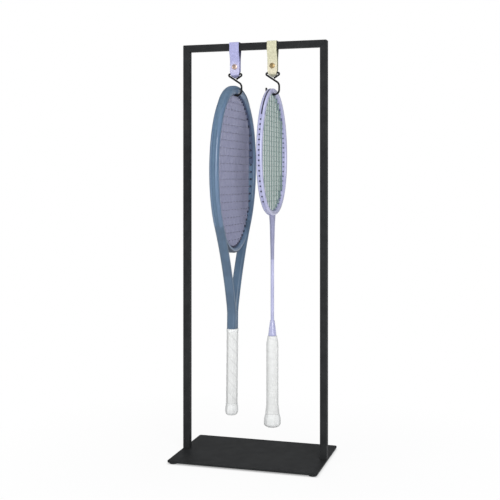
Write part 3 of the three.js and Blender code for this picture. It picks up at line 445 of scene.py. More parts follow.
def strapPath():
    # up behind, over the bar, down the front, round the hook's wire and up again inside
    s = strapShape
    side, r, top = s["side"], s["corner"], s["top"]
    path = [(s["back"], z) for z in s["tail"]]
    path += easedRun((s["back"], s["waist"]), (side, s["barLow"]), 10)
    path += [(side, z) for z in s["rise"]]
    path += arc((side - r, top - r), r, 0, 90, 6)
    path += [(y, top) for y in s["over"]]
    path += arc((-side + r, top - r), r, 90, 180, 6)
    path += [(-side, z) for z in reversed(s["rise"])]
    path += easedRun((-side, s["barLow"]), (s["front"], s["waist"]), 10)
    path += [(s["front"], z) for z in s["fall"]]
    path += arc((0, s["hookTop"]), -s["front"], 180, 360, 12)
    path += easedRun((-s["front"], s["hookTop"] + 2), (s["return"], s["bendTop"]), 8)
    path += [(s["return"], z) for z in s["returnRun"]]
    return path


def makeStrap(side, look, materials):
    s = strapShape
    bm = bmesh.new()
    verts = [bm.verts.new((-s["width"] / 2, y, z)) for y, z in strapPath()]
    edges = [bm.edges.new(pair) for pair in zip(verts, verts[1:])]
    for _ in range(s["columns"]):
        grown = bmesh.ops.extrude_edge_only(bm, edges=edges)["geom"]
        moved = [g for g in grown if isinstance(g, bmesh.types.BMVert)]
        edges = [g for g in grown if isinstance(g, bmesh.types.BMEdge)]
        bmesh.ops.translate(bm, verts=moved, vec=(s["width"] / s["columns"], 0, 0))
    for vert in bm.verts:
        # narrower where it folds round the wire, and never quite straight
        fold = 1 - smoothStep(vert.co.z, s["hookTop"] - 2, s["hookTop"] + 4)
        vert.co.x *= 1 - fold * (1 - s["foldHalf"] / (s["width"] / 2))
        vert.co.x += s["sway"] * noise.noise(Vector((look["x"], vert.co.y * 0.1, vert.co.z * 0.12)))
    bmesh.ops.recalc_face_normals(bm, faces=bm.faces)
    piece = finishPiece(f"{side}_strap_leather", bm, f"{side}_hanger", materials,
                        Matrix.Translation((look["x"], 0, 0)), 60, [f"{side}_strap"])
    thick = piece.modifiers.new("thickness", "SOLIDIFY")
    thick.thickness = s["thickness"] * mm
    thick.offset = 0
    thick.use_even_offset = True
    # the cut edge and the lining are painted darker by the bar as shade
    thick.material_offset_rim = 1  # the cut edge
    thick.material_offset = 2  # the lining
    soft = piece.modifiers.new("edge", "BEVEL")
    soft.width = s["edge"] * mm
    soft.segments = 3
    soft.limit_method = "ANGLE"
    soft.angle_limit = math.radians(50)


snapShape = {"height": 784.5, "capRadius": 5.5, "dome": 2.0, "capBack": -4.5, "stem": 1.2,
             "stemEnd": 0.65, "socketBack": 0.4, "tail": 3.4, "postGap": 2.6}


def makeSnap(side, look, metal):
    # the profiles' heights run from the front of the strap to its back
    s = snapShape
    turned = Matrix.Translation((look["x"], 0, s["height"])) @ Matrix.Rotation(math.radians(-90), 4, "X")
    cap = raised([(0, 0), (1.4, 0.05), (2.8, 0.26), (3.9, 0.6), (4.6, 1.0), (5.1, 1.25), (5.42, 1.45),
                  (s["capRadius"], 1.62), (5.42, 1.8)], s["capBack"] - s["dome"])
    cap += [(5.2, s["capBack"] - 0.02), (4.6, s["capBack"]), (s["stem"], s["capBack"]),
            (s["stem"], s["stemEnd"]), (0, s["stemEnd"])]
    socket = raised([(1.5, 0), (4.5, 0), (4.7, 0.2), (4.7, 1.7), (4.5, 1.95), (4.2, 2.1), (3.1, 2.1),
                     (2.75, 1.9), (2.5, 1.6), (2.5, 0.5), (1.5, 0.5), (1.5, 0)], s["socketBack"])
    stud = raised([(0, -2.1), (1.5, -2.1), (1.95, -1.95), (2.2, -1.6), (2.15, -1.2), (1.98, -0.6),
                   (3.8, -0.6), (4.0, -0.4), (4.0, -0.2), (3.8, 0), (1.5, 0), (1.5, -1.5), (0, -1.5)],
                  s["tail"])
    post = raised([(0, -0.6), (s["stem"], -0.6)], s["tail"])
    post += raised([(s["stem"], 0), (3.8, 0), (4.0, 0.1), (4.0, 0.3), (3.5, 0.52), (2, 0.6), (0, 0.6)],
                   s["tail"] + s["postGap"])
    for part, made, profile, steps in (("cap", "polished", cap, 64), ("socket", "pressed", socket, 48),
                                       ("stud", "pressed", stud, 48), ("post", "riveted", post, 48)):
        finishPiece(f"{side}_{part}_{made}", lathe(profile, steps), f"{side}_hanger",
                    [metal], turned, 50, [f"{side}_snap_{part}"])


hookShape = {"radius": 1.9, "top": 770.5, "half": 18.9, "corner": 2.4, "apexDrop": 12.5, "loop": 13.3,
             "seat": 727.2, "neckBend": 10.1, "loopBend": 9.5, "tip": 739.1, "tipRadius": 2.2,
             "endGap": 1.7, "pieceLength": 1.5}


def roundedLine(corners, steps):
    # corners are (x, z, radius); every inner one becomes an arc
    path = [Vector(corners[0][:2])]
    for before, here, after in zip(corners, corners[1:], corners[2:]):
        point, radius = Vector(here[:2]), here[2]
        arriving = (point - Vector(before[:2])).normalized()
        leaving = (Vector(after[:2]) - point).normalized()
        turn = arriving.angle(leaving)
        reach = radius * math.tan(turn / 2)
        side = 1 if arriving.cross(leaving) > 0 else -1
        center = point - arriving * reach + Vector((-arriving.y, arriving.x)) * side * radius
        spoke = point - arriving * reach - center
        for i in range(steps + 1):
            path.append(center + Matrix.Rotation(side * turn * i / steps, 2) @ spoke)
    path.append(Vector(corners[-1][:2]))
    return path


def makeHook(side, look):
    # the wire starts on the triangle's low corner, runs round it and down into the cradle
    h = hookShape
    apex = h["top"] - h["apexDrop"]
    slope = h["apexDrop"] / h["half"]
    lift = h["radius"] * h["endGap"] / math.hypot(1, slope)  # its end lies against its own neck
    corners = [(lift, apex + lift * slope, 0), (h["half"], h["top"], h["corner"]),
               (-h["half"], h["top"], h["corner"]), (h["loop"], apex - slope * h["loop"], h["neckBend"]),
               (h["loop"], h["seat"], h["loopBend"]), (-h["loop"], h["seat"], h["loopBend"]),
               (-h["loop"], h["tip"], 0)]
    line = roundedLine(corners, 14)
    fine = []
    for a, b in zip(line, line[1:]):
        count = max(1, round((b - a).length / h["pieceLength"]))
        fine += [a.lerp(b, i / count) for i in range(count)]
    fine.append(line[-1])
    bm = sweptSolid([fine], radius=h["radius"])
    tip = bmesh.ops.create_uvsphere(bm, u_segments=20, v_segments=12, radius=h["tipRadius"])["verts"]
    bmesh.ops.translate(bm, verts=tip, vec=(-h["loop"], 0, h["tip"]))
    finishPiece(f"{side}_hook_enamelled", bm, f"{side}_wire_hook", [wire],
                Matrix.Translation((look["x"], 0, 0)), 50, [f"{side}_hook"])


tongueShape = {"below": 3.2, "half": 2.6, "drop": 5.7, "soft": 0.7, "thinning": 0.5,
               "outline": [(-8.3, 0), (-7.9, -1.2), (-1.0, -5.7), (1.0, -5.7), (7.9, -1.2), (8.3, 0)]}


def makeTongue(side, look, leather):
    # the folded strap bulges down between the sloping wires and swings with them
    t = tongueShape
    top = strapShape["hookTop"] - t["below"]
    bm = bmesh.new()
    face = bm.faces.new([bm.verts.new((x, -t["half"], top + z)) for x, z in t["outline"]])
    grown = bmesh.ops.extrude_face_region(bm, geom=[face])["geom"]
    moved = [g for g in grown if isinstance(g, bmesh.types.BMVert)]
    bmesh.ops.translate(bm, vec=(0, 2 * t["half"], 0), verts=moved)
    for vert in bm.verts:
        vert.co.y *= 1 - t["thinning"] * (top - vert.co.z) / t["drop"]
    cleanMesh(bm)
    bmesh.ops.bevel(bm, geom=bm.edges[:], offset=t["soft"], segments=3, profile=0.5, affect="EDGES",
                    material=-1)
    finishPiece(f"{side}_strap_tongue", bm, f"{side}_wire_hook", [leather],
                Matrix.Translation((look["x"], 0, 0)), 50)


# each side's second edge colour is painted shade by the bar, its fold colours are a darker copy of the
# leather painted as shade under the tongue, and its pale colour is a painted highlight round the snap
hangers = {
    "left": {"x": -40.0, "slot": "lavender_leather", "colors": ("#a9aad7", "#b4b5e0"), "pale": "#cbc9e8",
             "edge": "#7274a6", "edgeBarShade": "#2f3052", "fold": ("#6d6e92", "#797a9d"),
             "snap": "rose_gold_snap", "metal": ("#b9a196", "#cdb6a9"), "gloss": 0.34},
    "right": {"x": 38.5, "slot": "cream_leather", "colors": ("#cfccae", "#dbd8bb"), "pale": "#e4dcc2",
              "edge": "#98967f", "edgeBarShade": "#50513f", "fold": ("#8b8a78", "#989786"),
              "snap": "antique_brass_snap", "metal": ("#94805c", "#a8936c"), "gloss": 0.42},
}
for side, look in hangers.items():
    highlightSpot = (look["x"] * mm, -4 * mm, (strapShape["hookTop"] + 10) * mm)  # where the leather is painted paler, as a painted highlight
    leather = grainedLeather(side + "StrapLeather", look["colors"], look["pale"], highlightSpot)
    edge = edgeDyeWithBarShade(side + "EdgeDyeBarShade", look["edge"], look["edgeBarShade"])
    lining = edgeDyeWithBarShade(side + "LiningBarShade", look["edge"], look["edgeBarShade"])
    # the tongue's leather is a darker copy of the strap's, painted shade for the fold's underside
    shadedFoldLeather = grainedLeather(side + "FoldLeatherShaded", look["fold"], look["fold"][1], highlightSpot)
    makeStrap(side, look, [leather, edge, lining])
    makeSnap(side, look, platedSnap(side + "SnapPlating", look["metal"], look["gloss"]))
    makeHook(side, look)
    makeTongue(side, look, shadedFoldLeather)
print("hangers made")


# the rackets are drawn in X and Z, with Z = 0 where the hook holds them
tennis = {
    "name": "tennis", "x": -41.0, "seat": 727.2, "turn": -0.55, "lean": 0.58, "rim": 13.0, "beam": 18.5,
    "sideRound": 5.5, "groove": 5.2, "grooveDepth": 3.0, "legAngle": -42, "crotch": -439.6,
    "legSpread": 14.8, "shaftWidth": 25.6, "gripTop": -471.6, "gripBottom": -622.0,
    "buttBottom": -645.2, "gripWidth": 27.0, "gripDepth": 21.3,
    "mains": 21, "crosses": 19, "mainString": (0.7, 1.62), "crossString": (0.72, 1.25),
    "mainSpread": 192.0, "crossFirst": 133.0, "crossPitch": 15.4,
    "head": {"middle": -148.3, "halfWidth": 123.5, "topRadius": 157.0, "lowRadius": 165.0,
             "topFullness": 2.12, "lowFullness": 2.0},
}
badminton = {
    "name": "badminton", "x": 37.7, "seat": 727.2, "turn": 0.0, "lean": 0.0, "rim": 9.6, "beam": 12.0,
    "sideRound": 3.4, "groove": 3.0, "grooveDepth": 1.5,
    "mains": 12, "crosses": 21, "mainString": (0.6, 1.46), "crossString": (0.42, 0.8),
    "mainSpread": 146.0, "crossFirst": 107.0, "crossPitch": 9.9,
    "head": {"middle": -121.8, "halfWidth": 95.7, "topRadius": 128.8, "lowRadius": 115.8,
             "topFullness": 2.0, "lowFullness": 2.15},
}


def racketPiece(racket, part, bm, materials, smooth, node=None):
    # a racket's piece goes to where the racket hangs, a little turned and leaning
    turned = Matrix.Rotation(math.radians(90 + racket["turn"]), 4, "Z")
    leaning = Matrix.Rotation(math.radians(racket["lean"]), 4, "Y")
    place = Matrix.Translation((racket["x"], 0, racket["seat"])) @ leaning @ turned
    name = racket["name"]
    replaced = [f"{name}_{node}"] if node else ()
    finishPiece(f"{name}_{part}", bm, f"{name}_racket", materials, place, smooth, replaced)


def ovalHalf(head, upper, offset):
    half = "top" if upper else "low"
    return head[half + "Radius"] + offset, head[half + "Fullness"], head["halfWidth"] + offset


def ovalPoint(head, angle):
    cosine, sine = math.cos(angle), math.sin(angle)
    rise, power, reach = ovalHalf(head, sine >= 0, 0)
    x = math.copysign(reach * abs(cosine) ** (2 / power), cosine)
    z = math.copysign(rise * abs(sine) ** (2 / power), sine)
    return x, head["middle"] + z


def ovalHeight(head, x, side, offset):
    rise, power, reach = ovalHalf(head, side > 0, offset)
    return head["middle"] + side * rise * (1 - abs(x / reach) ** power) ** (1 / power)


def ovalReach(head, z, offset):
    rise, power, reach = ovalHalf(head, z >= head["middle"], offset)
    share = min(1, abs((z - head["middle"]) / rise))
    return reach * (1 - share ** power) ** (1 / power)


def arcPoints(head, start, end, steps):
    return [ovalPoint(head, start + (end - start) * i / steps) for i in range(steps + 1)]


def rimSection(rim, beam, sideRound, groove, depth):
    # radial size along X with the string groove outside, beam along Y
    r, b = rim / 2, beam / 2
    inner = arc((-r + sideRound, b - sideRound), sideRound, 90, 180, 8)
    outerRound = sideRound * 1.05
    outer = arc((r - outerRound, b - outerRound), outerRound, 0, 90, 8)
    lip = [(r - depth, 0.0), (r - depth, groove * 0.42), (r - depth * 0.8, groove * 0.5),
           (r - depth * 0.15, groove * 0.56), (r, groove * 0.66)]
    half = lip + outer + inner
    mirrored = [(x, -y) for x, y in reversed(half)][:-1]
    return (half + mirrored)[::-1]


def stringPlaces(racket):
    head, count = racket["head"], racket["mains"]
    mains = [racket["mainSpread"] * (i / (count - 1) - 0.5) for i in range(count)]
    crosses = [head["middle"] + racket["crossFirst"] - j * racket["crossPitch"]
               for j in range(racket["crosses"])]
    return mains, crosses


def wovenLine(start, end, crossings, phase, lift):
    # a string that goes over and under at each crossing, with a smooth wave between
    marks = [(start, 0.0)] + [(at, lift * (-1) ** (k + phase)) for k, at in enumerate(crossings)]
    marks.append((end, 0.0))
    line = []
    for (a, ya), (b, yb) in zip(marks, marks[1:]):
        for i in range(4):
            share = i / 4
            line.append((a + (b - a) * share, ya + (yb - ya) * smoothStep(share, 0, 1)))
    return line + [(end, 0.0)]


def stringSection(size):
    # deeper than wide: seen along its face, the bed then looks as closed as in the photograph
    return [(size[0] * math.cos(math.pi * k / 4), size[1] * math.sin(math.pi * k / 4)) for k in range(8)]


bedShape = {"sink": 3.2, "mainMargin": 14, "crossMargin": 8}


def makeBed(racket, material):
    head, lift = racket["head"], racket["crossString"][1]
    mains, crosses = stringPlaces(racket)
    seat, margin = racket["rim"] / 2 - bedShape["sink"], bedShape["mainMargin"]
    mainPaths, crossPaths = [], []
    for x in mains:
        low, high = ovalHeight(head, x, -1, seat), ovalHeight(head, x, 1, seat)
        inside = [z for z in reversed(crosses) if low + margin < z < high - margin]
        line = wovenLine(low, high, inside, 0, 0.0)  # tight mains stay straight
        mainPaths.append([(x, z, y) for z, y in line])
    for j, z in enumerate(crosses):
        side = ovalReach(head, z, seat)
        inside = [x for x in mains if abs(x) < side - bedShape["crossMargin"]]
        line = wovenLine(-side, side, inside, mains.index(inside[0]) + j + 1, lift)
        crossPaths.append([(x, z, y) for x, y in line])
    for part, node, paths, size in (("mains", "main", mainPaths, racket["mainString"]),
                                    ("crosses", "cross", crossPaths, racket["crossString"])):
        woven = sweptSolid(paths, stringSection(size))
        racketPiece(racket, part + "_woven", woven, [material], 60, node + "_strings")


def makeBarrels(racket, material, radius, proud):
    # a grommet barrel where each string leaves the rim's inner face
    head, inner = racket["head"], -racket["rim"] / 2
    mains, crosses = stringPlaces(racket)
    found = [((x, ovalHeight(head, x, side, inner)), (0, -side)) for x in mains for side in (-1, 1)]
    for z in crosses:
        found += [((side * ovalReach(head, z, inner), z), (-side, 0)) for side in (-1, 1)]
    bore, root = radius * 0.55, -2.2
    profile = [(bore, root), (radius * 1.05, root), (radius, proud * 0.7), (radius * 0.86, proud),
               (bore, proud), (bore, root)]
    rings = []
    for (x, z), (dx, dz) in found:
        turned = Vector((0, 0, 1)).rotation_difference(Vector((dx, 0, dz))).to_matrix().to_4x4()
        ring = lathe(profile, 10)
        bmesh.ops.transform(ring, matrix=Matrix.Translation((x, 0, z)) @ turned, verts=ring.verts)
        rings.append(ring)
    racketPiece(racket, "grommets", joined(*rings), [material], 50)


def makeStrip(racket, part, material, span, half, bottom, top):
    # a moulded strip along the hoop, from one angle in degrees to another
    soft = 0.3 if top > bottom else -0.3
    section = [(bottom, -half), (top - soft, -half), (top, -half * 0.5), (top, half * 0.5),
               (top - soft, half), (bottom, half)]
    start, end = map(math.radians, span)
    strip = sweptSolid([arcPoints(racket["head"], start, end, 150)], section)
    racketPiece(racket, part, strip, [material], 40)


throatShape = {"lead": 0.43, "swell": 1.5, "swellRise": 0.165, "legTrim": 0.1, "legGroove": 0.2,
               "bridge": (10, 15, 4.4, 4.2, 0.3), "bridgeReach": 1.2, "webInset": 5.5, "webThinner": 3.0,
               "tubeGap": 0.3}


def throatLeg(start, angle):
    # a curve from the end of the hoop's arc to the crotch, then straight down into the grip
    t, s = tennis, throatShape
    leg, crotch = t["legSpread"] / 2, t["crotch"]
    rise = start[1] - crotch
    near = Vector(ovalPoint(t["head"], angle - math.pi / 60))
    along = (near - Vector(start)).normalized()
    p0 = Vector(start)
    p1 = p0 + along * rise * s["lead"]
    p2 = Vector((leg * s["swell"], crotch + rise * s["swellRise"]))
    p3 = Vector((leg, crotch))
    line = []
    for i in range(1, 41):
        u = i / 40
        line.append(p0 * (1 - u) ** 3 + p1 * 3 * u * (1 - u) ** 2 + p2 * 3 * u * u * (1 - u) + p3 * u ** 3)
    straight = (crotch - 8, crotch - 16, crotch - 24, t["gripTop"] + s["tubeGap"])
    return [tuple(p) for p in line] + [(leg, z) for z in straight]


def makeTennisFrame():
    t, s, head = tennis, throatShape, tennis["head"]
    angle = math.radians(t["legAngle"])
    hoopPath = arcPoints(head, math.pi - angle, angle, 180)
    hoop = sweptSolid([hoopPath[::-1]], rimSection(t["rim"], t["beam"], t["sideRound"], t["groove"],
                                                   t["grooveDepth"]))
    right = throatLeg(hoopPath[-1], angle)
    left = [(-x, z) for x, z in right][::-1]
    legPaths = left + hoopPath[:2], hoopPath[-2:] + right
    legs = sweptSolid([path[::-1] for path in legPaths],
                      rimSection(t["rim"] - s["legTrim"], t["beam"] - s["legTrim"], t["sideRound"],
                                 t["groove"], s["legGroove"]))
    # the legs take a darker copy of the lacquer, as painted shade on the throat
    for face in legs.faces:
        face.material_index = 2
    hairpin = joined(hoop, legs)
    narrow = t["shaftWidth"] / (t["legSpread"] + t["rim"])
    for vert in hairpin.verts:
        share = smoothStep(t["crotch"] + 2 * t["legSpread"] - vert.co.z, 0, 2 * t["legSpread"])
        vert.co.x *= 1 + (narrow - 1) * share
    reach = angle * s["bridgeReach"]
    bridge = sweptSolid([arcPoints(head, math.pi - reach, 2 * math.pi + reach, 60)],
                        rimSection(*s["bridge"]))
    for face in bridge.faces:
        # the underside of the bridge gets a darker copy of the lacquer, as painted shade
        out = face.calc_center_median() - Vector((0, 0, head["middle"]))
        out.y = 0
        if face.normal.dot(out.normalized()) > 0.1:
            face.material_index = 1
    web = bmesh.new()
    bmesh.ops.create_cube(web, size=1)
    high = t["crotch"] + s["webInset"]
    low = t["gripTop"] + s["tubeGap"]
    size = (t["shaftWidth"] - s["webInset"], t["beam"] - s["webThinner"], high - low)
    bmesh.ops.scale(web, vec=size, verts=web.verts)
    bmesh.ops.translate(web, vec=(0, 0, (high + low) / 2), verts=web.verts)
    racketPiece(t, "frame_lacquered", joined(hairpin, bridge, web),
                [tennisPaint, bridgeShadeLacquer, legShadeLacquer], 35, "frame")


guardShape = {"sink": 0.2, "side": 8.8, "thickness": 4.1, "ends": (0.14, 0.86), "steps": 140,
              "taperSteps": 46, "endShare": 0.62}


def makeGuard():
    g = guardShape
    inner, side = tennis["rim"] / 2 - g["sink"], g["side"]
    outer = inner + g["thickness"]
    half = [(inner, 0.0), (inner, side - 1.5), (inner - 1.6, side), (inner - 0.6, side + 0.1)]
    half += arc((outer - 6.5, 2.3), 6.4, 68, 8, 8)
    half.append((outer, 0.0))
    section = half + [(x, -y) for x, y in reversed(half)][1:-1]
    start, end = g["ends"]
    steps, least = g["steps"], g["endShare"]
    path = arcPoints(tennis["head"], math.pi * start, math.pi * end, steps)
    radii = [least + (1 - least) * smoothStep(min(i, steps - i), 0, g["taperSteps"])
             for i in range(steps + 1)]  # its ends run out flush
    racketPiece(tennis, "bumper_moulded", sweptSolid([path], section, radii=radii),
                [guardPlastic], 40, "bumper_guard")


# pitch is from seam to seam along the handle, starts is how many seams wind round it side by side
tennisWrap = {"pitch": 23.6, "starts": 3, "seam": 1.3, "lap": 0.5, "shade": 0.34, "above": 26}
badmintonWrap = {"pitch": 13.0, "starts": 1, "seam": 1.1, "lap": 0.18, "shade": 0.12, "above": 19}


def octagonSleeve(profile, depthShare, soft, wrap=None):
    # an eight sided turning: profile is (width across flats, height), soft rounds its corners
    low, high = profile[0][1], profile[-1][1]
    sleeve = lathe([(0, low)] + [(width / 2, z) for width, z in profile] + [(0, high)], 64)
    mark = sleeve.verts.layers.float.new("seam")
    for vert in sleeve.verts:
        x, y, z = vert.co
        radius = math.hypot(x, y)
        if radius < 0.1:
            continue
        angle = math.atan2(y, x)
        sector = (angle + math.pi / 8) % (math.pi / 4) - math.pi / 8
        grown = radius * (1 + (1 / math.cos(sector) - 1) * (1 - soft))
        if wrap and radius * 2 > wrap["above"]:
            # tape laid on a slant: each turn laps the last one with a small step
            phase = (z / wrap["pitch"] + wrap["starts"] * angle / (2 * math.pi)) % 1
            seam = math.exp(-(min(phase, 1 - phase) * wrap["pitch"] / wrap["seam"]) ** 2)
            grown += wrap["lap"] * (phase - 0.5 - 0.8 * seam)
            # the lap line is marked to be painted darker, as painted shade in the step
            vert[mark] = seam * wrap["shade"]
        vert.co = (grown * math.cos(angle), grown * math.sin(angle) * depthShare, z)
    return sleeve


def makeTennisHandle():
    t = tennis
    width, top, bottom = t["gripWidth"], t["gripTop"], t["gripBottom"]
    share = t["gripDepth"] / width
    steps = round(top - bottom)
    profile = [(width - 1, bottom + 0.05)]
    profile += [(width, bottom + 0.6 + (top - bottom - 1.2) * i / steps) for i in range(steps + 1)]
    profile += [(width - 1, top - 0.05)]
    tape = octagonSleeve(profile, share, 0.25, tennisWrap)
    racketPiece(t, "grip_wrapped", tape, [whiteGrip], 60, "grip")
    band = raised([(27.6, -6), (28.2, -5.8), (28.3, -5.2), (28.3, -0.8), (28.2, -0.2), (27.8, 0)], top)
    racketPiece(t, "collar_rubber", octagonSleeve(band, share, 0.25), [whiteRubber], 45,
                "grip_collar")
    cap = raised([(22.5, 0), (25.5, 0.5), (28, 2), (29.4, 4.2), (30.5, 6.6), (31, 9.3), (30.9, 11.5),
                  (30.2, 14.2), (29, 17.2), (28.2, 19.6), (28.1, 20.4), (28.9, 20.8), (28.9, 22.6),
                  (28, 22.9)], t["buttBottom"])
    racketPiece(t, "cap_moulded", octagonSleeve(cap, share, 0.3), [whiteRubber], 45,
                "butt_cap")


makeTennisFrame()
makeGuard()
makeStrip(tennis, "groove_strip", guardPlastic, (-41.6, 221.6), 2.5, 3.0, 6.1)
# a dark strip along the hoop's inner face, as painted shade on the inside of the far side
makeStrip(tennis, "inner_shade_strip", innerShadeNylon, (4, 176), 5.0, -5.4, -6.9)
makeBed(tennis, tennisString)
makeBarrels(tennis, navyNylon, 2.1, 2.6)
makeTennisHandle()
print("tennis racket made")


handle = {"taperBottom": -330.0, "jointBottom": -265.6, "coneTop": -451.6, "coneBottom": -482.3,
          "gripTop": -482.6, "shoulder": -500.0, "gripBottom": -638.0, "buttBottom": -664.4,
          "tip": 7.1, "neck": 10.0, "joint": 28.0, "shaftRadius": 3.5, "shaftSpan": (-547.6, -247.6),
          "coneRadius": 8.3, "coneTaper": 3.8, "coneSwell": 1.15, "gripNeck": 18.6, "gripWidth": 23.2,
          "gripEnd": 26.8, "flare": 22, "gripSteps": 150, "neckRise": 14, "forkDrop": 4, "forkPower": 1.6,
          "jointInset": 0.6}


def makeBadmintonFrame():
    b, head, h = badminton, badminton["head"], handle
    path = arcPoints(head, -math.pi / 2, 1.5 * math.pi, 240)[:-1]
    section = rimSection(b["rim"], b["beam"], b["sideRound"], b["groove"], b["grooveDepth"])
    hoop = sweptSolid([path], section, closed=True)
    top = head["middle"] - head["lowRadius"] + b["rim"] / 4
    low, tip = h["jointBottom"], h["taperBottom"]
    heights = [tip + (low - tip) * i / 16 for i in range(16)]
    heights += [low + (top - low) * i / 24 for i in range(25)]
    joint = lathe([(0, tip)] + [(1, z) for z in heights] + [(0, top)])
    for vert in joint.verts:
        # a long taper runs up from the shaft and opens into the fork of the hoop
        z = vert.co.z
        neck = h["tip"] + (h["neck"] - h["tip"]) * smoothStep(z, tip, low + h["neckRise"])
        wide = smoothStep(z, low - h["forkDrop"], top)
        vert.co.x *= (neck + (h["joint"] - neck) * wide ** h["forkPower"]) / 2
        vert.co.y *= (neck + (b["beam"] - h["jointInset"] - neck) * wide) / 2
    # the taper takes a darker copy of the frame's lacquer, as painted shade under the head
    for face in joint.faces:
        face.material_index = 1
    racketPiece(b, "frame_lacquered", joined(hoop, joint),
                [badmintonPaint, jointShadeLacquer], 35, "frame")


grommetHead = {"first": 4, "radii": (1.85, 1.55), "depth": 1.8, "seat": 1.7, "out": 0.6}


def makeGrommetHeads():
    # the flanges of the side grommets, set in the groove on the outside of the hoop
    g = grommetHead
    whole = bmesh.new()
    for z in stringPlaces(badminton)[1][g["first"]:]:
        reach = ovalReach(badminton["head"], z, badminton["rim"] / 2 - g["seat"]) + g["out"]
        for side in (-1, 1):
            turned = Matrix.Rotation(math.radians(90 * side), 4, "Y")
            bmesh.ops.create_cone(whole, cap_ends=True, segments=14, radius1=g["radii"][0],
                                  radius2=g["radii"][1], depth=g["depth"],
                                  matrix=Matrix.Translation((side * reach, 0, z)) @ turned)
    racketPiece(badminton, "grommet_heads", whole, [darkNylon], 50)


def makeBadmintonHandle():
    b, h = badminton, handle
    radius, (end, start) = h["shaftRadius"], h["shaftSpan"]
    shaft = lathe([(0, end), (radius, end), (radius, start), (0, start)], 40)
    racketPiece(b, "shaft_lacquered", shaft, [badmintonPaint], 50, "shaft")
    low, top, radius = h["coneBottom"], h["coneTop"], h["coneRadius"]
    profile = [(3.8, low), (radius - 0.3, low), (radius, low + 0.4)]
    profile += [(radius - h["coneTaper"] * (i / 12) ** h["coneSwell"],
                 low + 0.4 + (top - low - 0.9) * i / 12) for i in range(1, 13)]
    profile += [(4.3, top - 0.2), (3.8, top), (3.8, low)]
    racketPiece(b, "cone_moulded", lathe(profile, 56), [badmintonPaint], 50, "cone")
    gripTop, low, neck, width = h["gripTop"], h["gripBottom"], h["gripNeck"], h["gripWidth"]
    high = gripTop - 0.7
    grip = [(neck - 1, gripTop), (neck, high)]
    for i in range(1, h["gripSteps"] + 1):
        z = high - (high - low) * i / h["gripSteps"]
        if z > h["shoulder"]:
            across = neck + (width - neck) * smoothStep(gripTop - z, 0, gripTop - h["shoulder"])
        else:
            across = width + (h["gripEnd"] - width) * smoothStep(low + h["flare"] - z, 0, h["flare"])
        grip.append((across, z))
    grip.append((h["gripEnd"] - 1, low - 0.1))
    tape = octagonSleeve(grip, 1, 0.45, badmintonWrap)
    racketPiece(b, "grip_wrapped", tape, [whiteGrip], 60, "grip")
    cap = raised([(16, 0), (22, 0.6), (28, 2.2), (31.2, 4.2), (32.1, 6.6), (32.2, 9), (31.9, 13),
                  (31.2, 18), (29.4, 22), (27.6, 24.6), (27.2, 25.6), (26.4, 26.0)], h["buttBottom"])
    racketPiece(b, "cap_wrapped", octagonSleeve(cap, 1, 0.3), [whiteRubber], 45,
                "butt_cap")


makeBadmintonFrame()
makeBed(badminton, badmintonString)
makeBarrels(badminton, greyNylon, 1.6, 0.8)
# the strings in the outer groove, drawn as a dark strip whose darkness is painted shade in the groove
makeStrip(badminton, "groove_strip", darkNylon, (36, 144), 1.1, 3.0, 4.3)
makeGrommetHeads()
makeBadmintonHandle()
print("badminton racket made")


# whiteness of the floor under the plate, beside it and far off, in metres from the plate's edge
floorLook = {"size": 6, "plate": (0.146, 0.0935, 0), "under": 0.35, "beside": 0.92, "besideAt": 0.008,
             "extra": 0.08, "extraAt": 0.45, "color": (0.94, 0.94, 0.94, 1)}


def makeFloor():
    f = floorLook
    bm = bmesh.new()
    bmesh.ops.create_grid(bm, x_segments=1, y_segments=1, size=f["size"])
    floor = newObject("floor", newMesh("floor", bm))
    material = bpy.data.materials.new("paleFloor")
    tree = emptyTree(material)
    path = addNode(tree, "LightPath")
    seen = addNode(tree, "Math", {"operation": "MAXIMUM"},
                   {0: path.outputs["Is Camera Ray"], 1: path.outputs["Is Glossy Ray"]})
    place = addNode(tree, "TexCoord").outputs["Object"]
    # white beside the plate, with the contact shadow kept close under it
    side = addNode(tree, "VectorMath", {"operation": "ABSOLUTE"}, {0: place})
    past = addNode(tree, "VectorMath", {"operation": "SUBTRACT", 1: f["plate"]},
                   {0: side.outputs[0]})
    out = addNode(tree, "VectorMath", {"operation": "MAXIMUM", 1: (0, 0, 0)},
                  {0: past.outputs[0]})
    away = addNode(tree, "VectorMath", {"operation": "LENGTH"}, {0: out.outputs[0]})
    near = addNode(tree, "MapRange", {
        "From Max": f["besideAt"], "To Min": f["under"], "To Max": f["beside"]},
        {"Value": away.outputs["Value"]})
    far = addNode(tree, "MapRange", {"From Max": f["extraAt"], "To Max": f["extra"]},
                  {"Value": away.outputs["Value"]})
    white = addNode(tree, "Math", {"operation": "ADD"},
                    {0: near.outputs["Result"], 1: far.outputs["Result"]})
    share = addNode(tree, "Math", {"operation": "MULTIPLY"},
                    {0: seen.outputs[0], 1: white.outputs[0]})
    pale = addNode(tree, "BsdfDiffuse", {"Color": f["color"]})
    glow = addNode(tree, "Emission", {"Color": (1, 1, 1, 1), "Strength": 1.0})
    mix = addNode(tree, "MixShader", {},
                  {0: share.outputs[0], 1: pale.outputs[0], 2: glow.outputs[0]})
    addNode(tree, "OutputMaterial", {}, {"Surface": mix.outputs[0]})
    floor.data.materials.append(material)


worldLook = {"color": (0.97, 0.985, 1, 1), "strength": 0.27, "mirrored": 0.25}


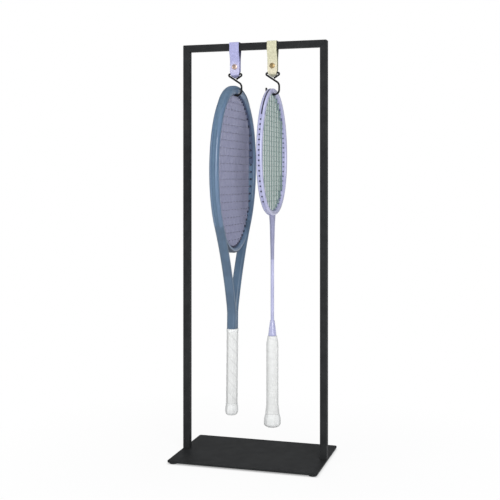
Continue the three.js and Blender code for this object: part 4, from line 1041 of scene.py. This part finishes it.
def makeWorld():
    world = bpy.data.worlds.new("softStudio")
    bpy.context.scene.world = world
    tree = emptyTree(world)
    path = addNode(tree, "LightPath")
    direct = addNode(tree, "Math", {"operation": "MAXIMUM"},
                     {0: path.outputs["Is Camera Ray"], 1: path.outputs["Is Transmission Ray"]})
    # satin steel and lacquer mirror the white only partly, so that dark faces stay dark
    mirrored = addNode(tree, "Math", {"operation": "MULTIPLY", 1: worldLook["mirrored"]},
                       {0: path.outputs["Is Glossy Ray"]})
    seen = addNode(tree, "Math", {"operation": "MAXIMUM"},
                   {0: direct.outputs[0], 1: mirrored.outputs[0]})
    soft = addNode(tree, "Background", {
        "Color": worldLook["color"], "Strength": worldLook["strength"]})
    white = addNode(tree, "Background", {"Color": (1, 1, 1, 1), "Strength": 1.0})
    mix = addNode(tree, "MixShader", {},
                  {0: seen.outputs[0], 1: soft.outputs[0], 2: white.outputs[0]})
    addNode(tree, "OutputWorld", {}, {"Surface": mix.outputs[0]})


# place and size in metres, power in watts; the rear one only brightens edges, so nothing mirrors it
lamps = {
    "keySoftbox": {"place": (1.35, -2.3, 1.15), "aim": 0.45, "size": (0.9, 1.6), "power": 49.5},
    "fillSoftbox": {"place": (-2.0, -1.3, 1.0), "aim": 0.45, "size": (0.35, 1.5), "power": 10},
    "topSoftbox": {"place": (0.2, -0.3, 2.4), "aim": 0.4, "size": (1.4, 1.0), "power": 7},
    "rearSoftbox": {"place": (-0.5, 2.5, 1.3), "aim": 0.45, "size": (1.6, 1.6), "power": 24,
                    "mirrored": False},
}


def addLamp(name, lamp):
    light = bpy.data.lights.new(name, "AREA")
    light.shape = "RECTANGLE"
    light.size, light.size_y = lamp["size"]
    light.energy = lamp["power"]
    softbox = newObject(name, light)
    softbox.location = lamp["place"]
    softbox.visible_glossy = lamp.get("mirrored", True)
    aim = Vector((0, 0, lamp["aim"])) - Vector(lamp["place"])
    softbox.rotation_euler = aim.to_track_quat("-Z", "Y").to_euler()


# the eye is level and 1.88 m away; the lens and shift frame the stand as in the photograph
eye = {"place": (0.5238, -1.8094, 0.5576), "turn": 16.145, "sensor": 36, "lens": 67.394,
       "shift": (-0.0085, -0.1415)}


def makeCamera():
    data = bpy.data.cameras.new("camera")
    data.sensor_width = eye["sensor"]
    data.lens = eye["lens"]
    data.shift_x, data.shift_y = eye["shift"]
    camera = newObject("camera", data)
    camera.location = eye["place"]
    camera.rotation_euler = (math.radians(90), 0, math.radians(eye["turn"]))
    bpy.context.scene.camera = camera


makeFloor()
makeWorld()
for name, lamp in lamps.items():
    addLamp(name, lamp)
makeCamera()
bpy.context.scene.view_settings.view_transform = "Standard"
print("stage made")
